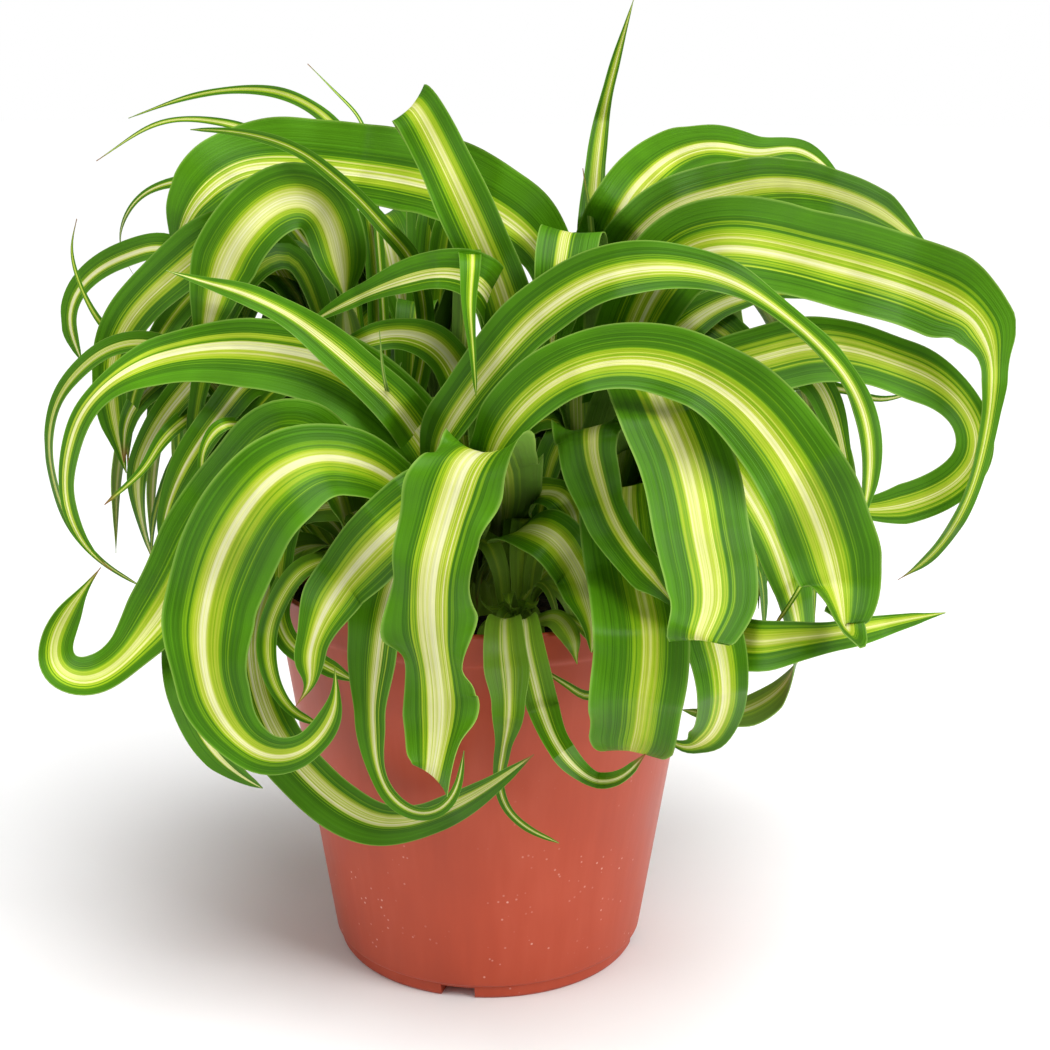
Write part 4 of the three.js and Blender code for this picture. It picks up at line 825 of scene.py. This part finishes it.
# The pot: a profile turned round the axis, and where a drain notch is, the foot is squeezed up:
# z + notch (1 - z / foot height), with notch rising to its height inside a box over the foot
def potSurface():
    height, foot, lip = pot["height"], pot["footHeight"], pot["rimProud"]
    shelf = pot["notchHeight"] + pot["floor"]
    inside = pot["baseRadius"] - pot["notchDepth"]
    band = height - pot["rimBand"]
    base = wallRadius(0)
    under = [(radius, 0) for radius in potShape["discs"]]
    under += [(inside + out, 0) for out in potShape["notchRings"]]
    under += [(base - potShape["soleInset"], 0)]
    under += [(base - pot["footStep"] + out, rise) for out, rise in potShape["soleCurve"]]
    outer = [(base - pot["footStep"] * (1 - z / (2 * foot)), z)
             for z in runBetween(0, foot, "foot")]
    outer += [(base - pot["footStep"] / 2, foot - potShape["footEnd"])]
    outer += curveAt(foot, potShape["stepCurve"])
    outer += [(wallRadius(z), z) for z in runBetween(foot, band, "wall")]
    outer += curveAt(band, potShape["bandCurve"])
    outer += [(wallRadius(z) + lip, z) for z in runBetween(band, height, "rim")]
    turn = np.linspace(0, math.pi, potShape["rimPoints"])
    half, rise = potShape["rimHalf"], potShape["rimRise"]
    rim = wallRadius(height) + lip - half + half * np.cos(turn)
    outer += list(zip(rim, height - rise + rise * np.sin(turn)))
    inner = [(wallRadius(z) - pot["wall"], z) for z in runBetween(height, shelf, "inside")]
    well, corner = inside - pot["wall"], potShape["cornerRise"]
    inner += [(wallRadius(shelf) - pot["wall"] - potShape["shelfInset"], shelf + corner),
              (well, shelf), (well - potShape["slopeInsets"][0], pot["floor"] + corner),
              (well - potShape["slopeInsets"][1], pot["floor"])]
    inner += [(radius, pot["floor"]) for radius in potShape["floorDiscs"]]
    profile = np.array(under + outer + inner)
    angle = np.linspace(0, 2 * math.pi, potShape["around"], endpoint=False)
    reach = pot["notchWidth"] / 2 / pot["baseRadius"]
    middles = [math.radians(pot["notchTurn"] + 360 * k / pot["notchCount"])
               for k in range(pot["notchCount"])]
    extra = [middle + side * (reach + cut) for middle in middles for side in (-1, 1)
             for cut in potShape["notchCuts"]]
    angle = np.unique(np.round(np.mod(np.concatenate([angle, extra]), 2 * math.pi), 5))[None]
    radius, level = profile[:, 0][:, None] + 0 * angle, profile[:, 1][:, None] + 0 * angle
    notch = np.zeros_like(level)
    side, end = potShape["notchSide"], potShape["notchEnd"]
    for middle in middles:
        off = np.abs(np.mod(angle - middle + math.pi, 2 * math.pi) - math.pi)
        notch = np.maximum(notch, np.clip((reach + side - off) / (2 * side), 0, 1)
                           * np.clip((radius - inside + end) / (2 * end), 0, 1))
    notch[len(under) + len(outer):] = 0
    height = level + notch * pot["notchHeight"] * np.clip(1 - level / foot, 0, 1)
    points = np.stack([radius * np.cos(angle), radius * np.sin(angle), height], -1)
    return points, {"wallHeight": height / decimetre}


# The bed: its lumps, each finer size fainter, and the lattice of random numbers that they come from
bed = {
    "around": 180, "rings": 64, "pole": 0.02, "moundRadius": 46.0,
    "lumpHeight": 1.5, "lumpSize": 4.5, "lumpSizes": 3, "lumpFade": 1.6, "lumpMean": 0.6,
    "lattice": 64, "latticeStart": 300, "slope": 1.0, "shoulder": 1.0,
    "sideStart": 8.0, "sideRows": 12, "brim": 2.5, "brimInset": 0.3,
}


# Noise on a square lattice of random numbers, eased from one lattice point to the next
def latticeNoise(x, y, size, seed):
    count = bed["lattice"]
    table = np.random.default_rng(seed).random((count, count))
    u, v = np.mod(x / size, count), np.mod(y / size, count)
    i, j = u.astype(int) % count, v.astype(int) % count
    a, b = smoothStep(u - np.floor(u)), smoothStep(v - np.floor(v))
    low = mix(table[i, j], table[(i + 1) % count, j], a)
    high = mix(table[i, (j + 1) % count], table[(i + 1) % count, (j + 1) % count], a)
    return mix(low, high, b)


# The height of the potting mix over the pot: a low mound and a few sizes of lumps
def soilHeight(x, y):
    radius = np.hypot(x, y)
    mound = soil["top"] + soil["mound"] * (1 - smoothStep(radius / bed["moundRadius"]))
    lumps, start = 0, bed["latticeStart"]
    for octave in range(bed["lumpSizes"]):
        noise = latticeNoise(x + start, y + start, bed["lumpSize"] / 2 ** octave, octave)
        lumps = lumps + (noise - bed["lumpMean"]) / bed["lumpFade"] ** octave
    return mound + bed["lumpHeight"] * lumps


# The radius of the potting mix where it meets the pot's wall
def soilEdge(z):
    return wallRadius(z) - pot["wall"] - soil["gap"]


# The potting mix: the shape of the inside of the pot, and on top the lumpy bed
def soilSurface():
    low = pot["floor"] + soil["gap"]
    shelf = pot["notchHeight"] + low
    inside = soilEdge(0) - pot["notchDepth"]
    shoulder, brim = shelf + bed["shoulder"], soil["top"] - bed["brim"]
    side = [(bed["pole"], low), (inside - bed["slope"], low), (inside, shelf),
            (soilEdge(shoulder), shoulder)]
    side += [(soilEdge(z), z) for z in np.linspace(shelf + bed["sideStart"], brim, bed["sideRows"])]
    side = np.array(side)
    angle = np.linspace(0, 2 * math.pi, bed["around"], endpoint=False)[None]
    rings = np.linspace(soilEdge(brim) - bed["brimInset"], bed["pole"], bed["rings"])
    radius = np.concatenate([side[:, 0], rings])[:, None] + 0 * angle
    x, y = radius * np.cos(angle), radius * np.sin(angle)
    height = soilHeight(x, y)
    height[:len(side)] = side[:, 1][:, None]
    return np.stack([x, y, height], -1), {}


crumb = {
    "count": 520, "size": (0.7, 2.3), "sizePower": 2.2, "inset": 2.5, "seed": 11,
    "rows": 6, "around": 8, "pole": 0.05, "dents": (0.25, 0.15), "phase": 6,
    "longer": 0.9, "flat": 0.62, "lift": 0.1,
}


# Crumbs of bark and peat on the bed: small flattened balls, longer one way, dented and spun. A
# point is size (1 + dents) times that of the ball, and it stands as high as the bed under it.
def crumbSurfaces():
    draw = np.random.default_rng(crumb["seed"])
    edge = wallRadius(soil["top"]) - pot["wall"] - crumb["inset"]
    tall = np.linspace(crumb["pole"], math.pi - crumb["pole"], crumb["rows"])[:, None]
    turn = np.linspace(0, 2 * math.pi, crumb["around"], endpoint=False)[None]
    (sideDent, tallDent), phase = crumb["dents"], crumb["phase"]
    grids = []
    for _ in range(crumb["count"]):
        away, around = edge * math.sqrt(draw.random()), draw.random() * 2 * math.pi
        size = mix(*crumb["size"], draw.random() ** crumb["sizePower"])
        x, y = away * math.cos(around), away * math.sin(around)
        dent = 1 + sideDent * np.sin(2 * turn + phase * draw.random()) * np.sin(tall)
        dent = dent + tallDent * np.cos(3 * tall + phase * draw.random())
        long = 1 + crumb["longer"] * draw.random()
        ball = np.stack([np.sin(tall) * np.cos(turn) * long, np.sin(tall) * np.sin(turn),
                         -np.cos(tall) * crumb["flat"] + 0 * turn], -1)
        spin = draw.random() * math.pi
        turned = ball * dent[..., None] * size
        px = turned[..., 0] * math.cos(spin) - turned[..., 1] * math.sin(spin)
        py = turned[..., 0] * math.sin(spin) + turned[..., 1] * math.cos(spin)
        at = float(soilHeight(np.array([x]), np.array([y]))[0])
        height = at + crumb["lift"] * size + turned[..., 2]
        grids.append((np.stack([x + px, y + py, height], -1), {}))
    return grids


# Colours are given as sRGB hex and turned to linear light
def linear(hexColour):
    parts = [int(hexColour[i:i + 2], 16) / 255 for i in (1, 3, 5)]
    return [p / 12.92 if p <= 0.04045 else ((p + 0.055) / 1.055) ** 2.4 for p in parts] + [1.0]


# Gives each named socket of a node its value, or links it to the socket that feeds it
def setSockets(tree, node, sockets):
    for name, value in sockets.items():
        if isinstance(value, bpy.types.NodeSocket):
            tree.links.new(value, node.inputs[name])
        else:
            node.inputs[name].default_value = value


# Adds a node with its sockets and its own settings
def addNode(tree, kind, sockets, settings=None):
    node = tree.nodes.new(kind)
    for name, value in (settings or {}).items():
        setattr(node, name, value)
    setSockets(tree, node, sockets)
    return node


def maths(tree, operation, *values):
    return addNode(tree, "ShaderNodeMath", dict(enumerate(values)),
                   {"operation": operation}).outputs[0]


# Noise moved to lie evenly round zero: noise times size, less half of size
def roundZero(tree, noise, size):
    return maths(tree, "MULTIPLY_ADD", noise, size, -size / 2)


def addNoise(tree, place, scale, detail, roughness=0.5):
    return addNode(tree, "ShaderNodeTexNoise", {
        "Vector": place, "Scale": scale, "Detail": detail, "Roughness": roughness}).outputs["Fac"]


# Takes a value from one range to another and holds it at the ends
def addRange(tree, value, source, target):
    return addNode(tree, "ShaderNodeMapRange", {
        "Value": value, "From Min": source[0], "From Max": source[1],
        "To Min": target[0], "To Max": target[1]}).outputs["Result"]


def addVector(tree, x, y, z):
    return addNode(tree, "ShaderNodeCombineXYZ", {"X": x, "Y": y, "Z": z}).outputs[0]


# Goes from the colour below to a given one as far as the factor says
def addColour(tree, below, hexColour, factor):
    return addNode(tree, "ShaderNodeMix", {
        "Factor": factor, "A": below, "B": linear(hexColour)},
        {"data_type": "RGBA"}).outputs["Result"]


# Reads a colour off a row of places and hex colours
def addRamp(tree, value, stops):
    node = addNode(tree, "ShaderNodeValToRGB", {"Fac": value})
    elements = node.color_ramp.elements
    while len(elements) < len(stops):
        elements.new(0.5)
    for element, (place, colour) in zip(elements, stops):
        element.position = place
        element.color = linear(colour)
    return node.outputs["Color"]


def addBump(tree, height, strength, distance):
    return addNode(tree, "ShaderNodeBump", {
        "Height": height, "Strength": strength, "Distance": distance}).outputs["Normal"]


def readAttribute(tree, name):
    return addNode(tree, "ShaderNodeAttribute", {}, {"attribute_name": name}).outputs["Fac"]


# A material with its shader's own values, its node tree and its shader
def newMaterial(name, sockets):
    material = bpy.data.materials.new(name)
    material.use_nodes = True
    tree = material.node_tree
    shader = tree.nodes["Principled BSDF"]
    setSockets(tree, shader, sockets)
    return material, tree, shader


usual = (0.3, 0.7)  # where nearly all of a noise lies
whole = (0.0, 1.0)

# Patterns over the blade count along it in decimetres and across it in half widths, or for the
# veins in millimetres, and the cloud's scale is per metre. A noise is given as its scale, detail
# and roughness. Shades multiply the colour.
leafFinish = {
    "roughness": 0.42, "undersideRough": 0.2, "veinRough": 0.16, "cloudRough": 0.3,
    "ior": 1.45, "specular": 0.16, "bump": 0.35, "bumpDepth": 0.0004,
    "margins": [(0.0, "#4a8109"), (0.12, "#3a6c04"), (0.30, "#447608"), (0.42, "#6a9a0c"),
                (0.56, "#96b41a"), (0.70, "#b4c438"), (0.82, "#d8db84"), (1.0, "#e6e6b0")],
    "wanderAlong": 1.3, "wander": 0.16, "wanderNoise": (1.0, 1.0),
    "streakAcross": 10.0, "streakAlong": 0.22, "streak": 1.3, "streakNoise": (1.0, 3.0, 0.7),
    "veinAcross": 2.0, "veinNoise": (1.0, 2.0, 0.6), "veinShades": (0.86, 1.10),
    "cloudNoise": (65.0, 2.0), "cloudShades": (0.88, 1.12),
    "toneShades": (0.72, 1.10), "rimFrom": (0.94, 0.99), "rimMost": 0.4, "rimColour": "#a2c45a",
    "baseFade": 1.7, "baseMost": 0.5, "baseColour": "#a6c243",
    "undersideMost": 0.30, "undersideColour": "#a3bf62", "dryColour": "#8a5a2c",
}


# Leaf: a living blade with a waxy cuticle, grown in lengthwise bands. Dark green margins pass
# through lime bands to a cream heart. The bands follow the blade, so they narrow with it. The wax
# gives a soft broad gloss, broken along fine veins, and the underside is paler and duller.
def makeLeafMaterial():
    look = leafFinish
    material, tree, shader = newMaterial("spiderPlantLeafWaxyCuticle", {
        "IOR": look["ior"], "Specular IOR Level": look["specular"]})
    across, along, seed, underside = (
        readAttribute(tree, name) for name in ("acrossLeaf", "alongLeaf", "leafSeed", "underside"))

    # where a point is in the banding: 0 in the margin, 1 in the heart
    drift = addVector(tree, maths(tree, "MULTIPLY", along, look["wanderAlong"]), seed, 0.0)
    wander = roundZero(tree, addNoise(tree, drift, *look["wanderNoise"]), look["wander"])
    centred = maths(tree, "SUBTRACT", across, readAttribute(tree, "stripeShift"))
    centred = maths(tree, "ADD", centred, wander)
    lines = addVector(tree, maths(tree, "MULTIPLY", centred, look["streakAcross"]),
                      maths(tree, "MULTIPLY", along, look["streakAlong"]), seed)
    streaks = roundZero(tree, addNoise(tree, lines, *look["streakNoise"]), look["streak"])
    away = maths(tree, "ADD", maths(tree, "ABSOLUTE", centred), streaks)
    shares = readAttribute(tree, "limeShare"), readAttribute(tree, "creamShare")
    colour = addRamp(tree, addRange(tree, away, shares, whole), look["margins"])

    # fine veins, about one each half millimetre, a shade darker in the green
    acrossSize = maths(tree, "MULTIPLY", across, readAttribute(tree, "veins"))
    veins = addVector(tree, maths(tree, "MULTIPLY", acrossSize, look["veinAcross"]), along, seed)
    veinNoise = addNoise(tree, veins, *look["veinNoise"])
    shade = addRange(tree, veinNoise, usual, look["veinShades"])

    # some leaves are deeper in colour, others lighter, inner ones and partly low-hanging ones
    # darker as painted shade, and each is a little cloudy, every 15 mm
    place = addNode(tree, "ShaderNodeTexCoord", {}).outputs["Object"]
    cloud = addNoise(tree, place, *look["cloudNoise"])
    cloudy = addRange(tree, cloud, usual, look["cloudShades"])
    tone = addRange(tree, readAttribute(tree, "leafToneAndShade"), whole, look["toneShades"])
    shade = maths(tree, "MULTIPLY", maths(tree, "MULTIPLY", shade, tone), cloudy)
    colour = addNode(tree, "ShaderNodeVectorMath", {"Vector": colour, "Scale": shade},
                     {"operation": "SCALE"}).outputs[0]

    # a thin pale line along each edge, paler towards the base and underneath, brown at a dry tip
    rim = addRange(tree, maths(tree, "ABSOLUTE", across), look["rimFrom"], (0.0, look["rimMost"]))
    colour = addColour(tree, colour, look["rimColour"], rim)
    pale = maths(tree, "SUBTRACT", 1.0, maths(tree, "MULTIPLY", along, look["baseFade"]))
    pale = addRange(tree, pale, whole, (0.0, look["baseMost"]))
    colour = addColour(tree, colour, look["baseColour"], pale)
    below = maths(tree, "MULTIPLY", underside, look["undersideMost"])
    colour = addColour(tree, colour, look["undersideColour"], below)
    colour = addColour(tree, colour, look["dryColour"], readAttribute(tree, "dryTip"))

    # the wax is duller underneath and uneven along the veins and clouds
    least = look["roughness"]
    rough = addRange(tree, underside, whole, (least, least + look["undersideRough"]))
    rough = maths(tree, "ADD", rough, roundZero(tree, veinNoise, look["veinRough"]))
    rough = maths(tree, "ADD", rough, roundZero(tree, cloud, look["cloudRough"]))
    bump = addBump(tree, veinNoise, look["bump"], look["bumpDepth"])
    setSockets(tree, shader, {"Base Color": colour, "Roughness": rough, "Normal": bump})
    return material


# Pattern scales are per metre. The scuffs have a range of the speck pattern, of the patches that
# they come in and of the height on the wall in decimetres.
potFinish = {
    "roughness": 0.40, "rougher": (-0.06, 0.10), "ior": 1.49, "specular": 0.35,
    "tones": [(0.45, "#a83f24"), (0.72, "#b24528"), (1.0, "#ba4e33")],
    "flowScale": (260.0, 260.0, 9.0), "flowNoise": (1.0, 3.0), "flowShare": 0.45,
    "cloudNoise": (28.0, 2.0), "patchNoise": (55.0, 3.0, 0.65),
    "speckScale": 420.0, "speckRange": (0.16, 0.08),
    "patchRange": (0.50, 0.63), "patchMost": 0.65, "lowRange": (0.7, 0.35),
    "scuffColour": "#ecc4b6", "bump": 0.12, "bumpDepth": 0.0006,
}


# Pot: thin polypropylene, injection moulded and a little chalky. The melt leaves faint flow lines
# up the wall, and handling leaves small pale scuffs and specks low on it.
def makePotMaterial():
    look = potFinish
    material, tree, shader = newMaterial("polypropyleneMoulded", {
        "IOR": look["ior"], "Specular IOR Level": look["specular"]})
    place = addNode(tree, "ShaderNodeTexCoord", {}).outputs["Object"]

    # flow lines: noise stretched along the wall, a line each 4 mm or so and finer ones between
    stretch = addNode(tree, "ShaderNodeMapping", {"Vector": place, "Scale": look["flowScale"]})
    flow = addNoise(tree, stretch.outputs[0], *look["flowNoise"])
    cloud = addNoise(tree, place, *look["cloudNoise"])
    blend = maths(tree, "MULTIPLY_ADD", flow, look["flowShare"], cloud)
    tone = addRamp(tree, blend, look["tones"])

    # specks: the middles of the cells of a fine pattern, only here and there and low on the wall
    specks = addNode(tree, "ShaderNodeTexVoronoi", {
        "Vector": place, "Scale": look["speckScale"], "Randomness": 1.0}).outputs["Distance"]
    patch = addNoise(tree, place, *look["patchNoise"])
    small = addRange(tree, specks, look["speckRange"], whole)
    where = addRange(tree, patch, look["patchRange"], (0.0, look["patchMost"]))
    low = addRange(tree, readAttribute(tree, "wallHeight"), look["lowRange"], whole)
    scuff = maths(tree, "MULTIPLY", maths(tree, "MULTIPLY", small, where), low)
    least, most = (look["roughness"] + more for more in look["rougher"])
    setSockets(tree, shader, {
        "Base Color": addColour(tree, tone, look["scuffColour"], scuff),
        "Roughness": addRange(tree, cloud, usual, (least, most)),
        "Normal": addBump(tree, flow, look["bump"], look["bumpDepth"])})
    return material


soilFinish = {
    "roughness": 0.9, "ior": 1.35, "grainNoise": (520.0, 5.0, 0.7), "bump": 0.8, "bumpDepth": 0.001,
    "tones": [(0.30, "#120d0a"), (0.50, "#231812"), (0.64, "#3a281b"), (0.76, "#6b4c34")],
}


# Potting mix: peat, bark crumbs and fibre, damp and nearly black, with a few lighter fibres
def makeSoilMaterial():
    look = soilFinish
    material, tree, shader = newMaterial("pottingMixDampPeat", {
        "IOR": look["ior"], "Roughness": look["roughness"]})
    place = addNode(tree, "ShaderNodeTexCoord", {}).outputs["Object"]
    grain = addNoise(tree, place, *look["grainNoise"])
    setSockets(tree, shader, {
        "Base Color": addRamp(tree, grain, look["tones"]),
        "Normal": addBump(tree, grain, look["bump"], look["bumpDepth"])})
    return material


def triangleCount(piece):
    return sum(len(p.vertices) - 2 for p in piece.data.polygons)


# The pieces, with the angle in degrees above which their edges are sharp
leafSharp, potSharp = 60, 40
leafMaterial = makeLeafMaterial()
triangles = 0
for place in crown["places"]:
    grids = [leafSurface(one, i) for i, one in enumerate(allLeaves) if one["crown"] == place]
    grids.append(neckSurface(place))
    title = "crown" + place[0].upper() + place[1:]
    piece = gridMesh(title + "Leaves", grids, leafSharp)
    piece.data.materials.append(leafMaterial)
    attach(piece, "root")
    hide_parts(title)
    triangles += triangleCount(piece)
    print(piece.name, "leaves", len(grids) - 1, "triangles", triangleCount(piece))

potPiece = gridMesh("potMoulded", [potSurface()], potSharp)
potPiece.data.materials.append(makePotMaterial())
soilPiece = gridMesh("soilBed", [soilSurface()] + crumbSurfaces())
soilPiece.data.materials.append(makeSoilMaterial())
for piece, node, slot in ((potPiece, "pot", "pot"), (soilPiece, "soil", "soil")):
    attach(piece, "root")
    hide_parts(node)
    triangles += triangleCount(piece)
print("pot and soil made, triangles in all", triangles)

# The studio, in metres: a pale floor, two rectangular lamps that look at the middle of the plant,
# a soft light from above and a pale world that is brighter to the camera than to the plant
studio = {
    "floorHalf": 6, "floorColour": "#f4f4f4", "floorRough": 0.9, "floorSpecular": 0.1,
    "aim": (0.0, 0.0, 0.13), "skyPower": 3.0, "skySpread": 50, "skyTurn": (14, 10, 0),
    "world": (0.24, 1.0),
    "lamps": [
        {"name": "keyRight", "at": (1.0, -0.65, 0.75), "size": 0.6, "power": 9},
        {"name": "fillLeft", "at": (-1.1, -0.6, 0.7), "size": 0.8, "power": 4},
    ],
}
far = studio["floorHalf"]
floorMesh = bpy.data.meshes.new("floor")
floorMesh.from_pydata([(-far, -far, 0), (far, -far, 0), (far, far, 0), (-far, far, 0)],
                      [], [(0, 1, 2, 3)])
floor = bpy.data.objects.new("floor", floorMesh)
bpy.context.scene.collection.objects.link(floor)
floorMesh.materials.append(newMaterial("paleMattFloor", {
    "Base Color": linear(studio["floorColour"]), "Roughness": studio["floorRough"],
    "Specular IOR Level": studio["floorSpecular"]})[0])


def addLight(name, kind, power):
    light = bpy.data.lights.new(name, kind)
    light.energy = power
    lamp = bpy.data.objects.new(name, light)
    bpy.context.scene.collection.objects.link(lamp)
    return lamp


for row in studio["lamps"]:
    lamp = addLight(row["name"], "AREA", row["power"])
    lamp.data.shape, lamp.data.size, lamp.data.size_y = "RECTANGLE", row["size"], row["size"]
    lamp.location = row["at"]
    direction = Vector(studio["aim"]) - Vector(row["at"])
    lamp.rotation_euler = direction.to_track_quat("-Z", "Y").to_euler()
sky = addLight("softSky", "SUN", studio["skyPower"])
sky.data.angle = math.radians(studio["skySpread"])
sky.rotation_euler = [math.radians(turn) for turn in studio["skyTurn"]]
bpy.context.scene.view_settings.view_transform = "Standard"  # colours as given, white stays white
world = bpy.data.worlds.new("paleStudio")
bpy.context.scene.world = world
world.use_nodes = True
seen = addNode(world.node_tree, "ShaderNodeLightPath", {}).outputs["Is Camera Ray"]
setSockets(world.node_tree, world.node_tree.nodes["Background"], {
    "Color": (1.0, 1.0, 1.0, 1.0),
    "Strength": addRange(world.node_tree, seen, whole, studio["world"])})

camera = bpy.data.cameras.new("camera")
camera.sensor_width = view["sensor"]
camera.lens = view["sensor"] * view["focal"] / view["pixels"]
camera.clip_start = view["nearest"]
cameraObject = bpy.data.objects.new("camera", camera)
bpy.context.scene.collection.objects.link(cameraObject)
tilt = Matrix.Rotation(math.radians(90 - view["down"]), 4, "X")
roll = Matrix.Rotation(math.radians(view["roll"]), 4, "Z")
place = Matrix.Translation(Vector(view["eye"]) * millimetre)
cameraObject.matrix_world = place @ tilt @ roll
bpy.context.scene.camera = cameraObject
print("stage, lamps and camera set")
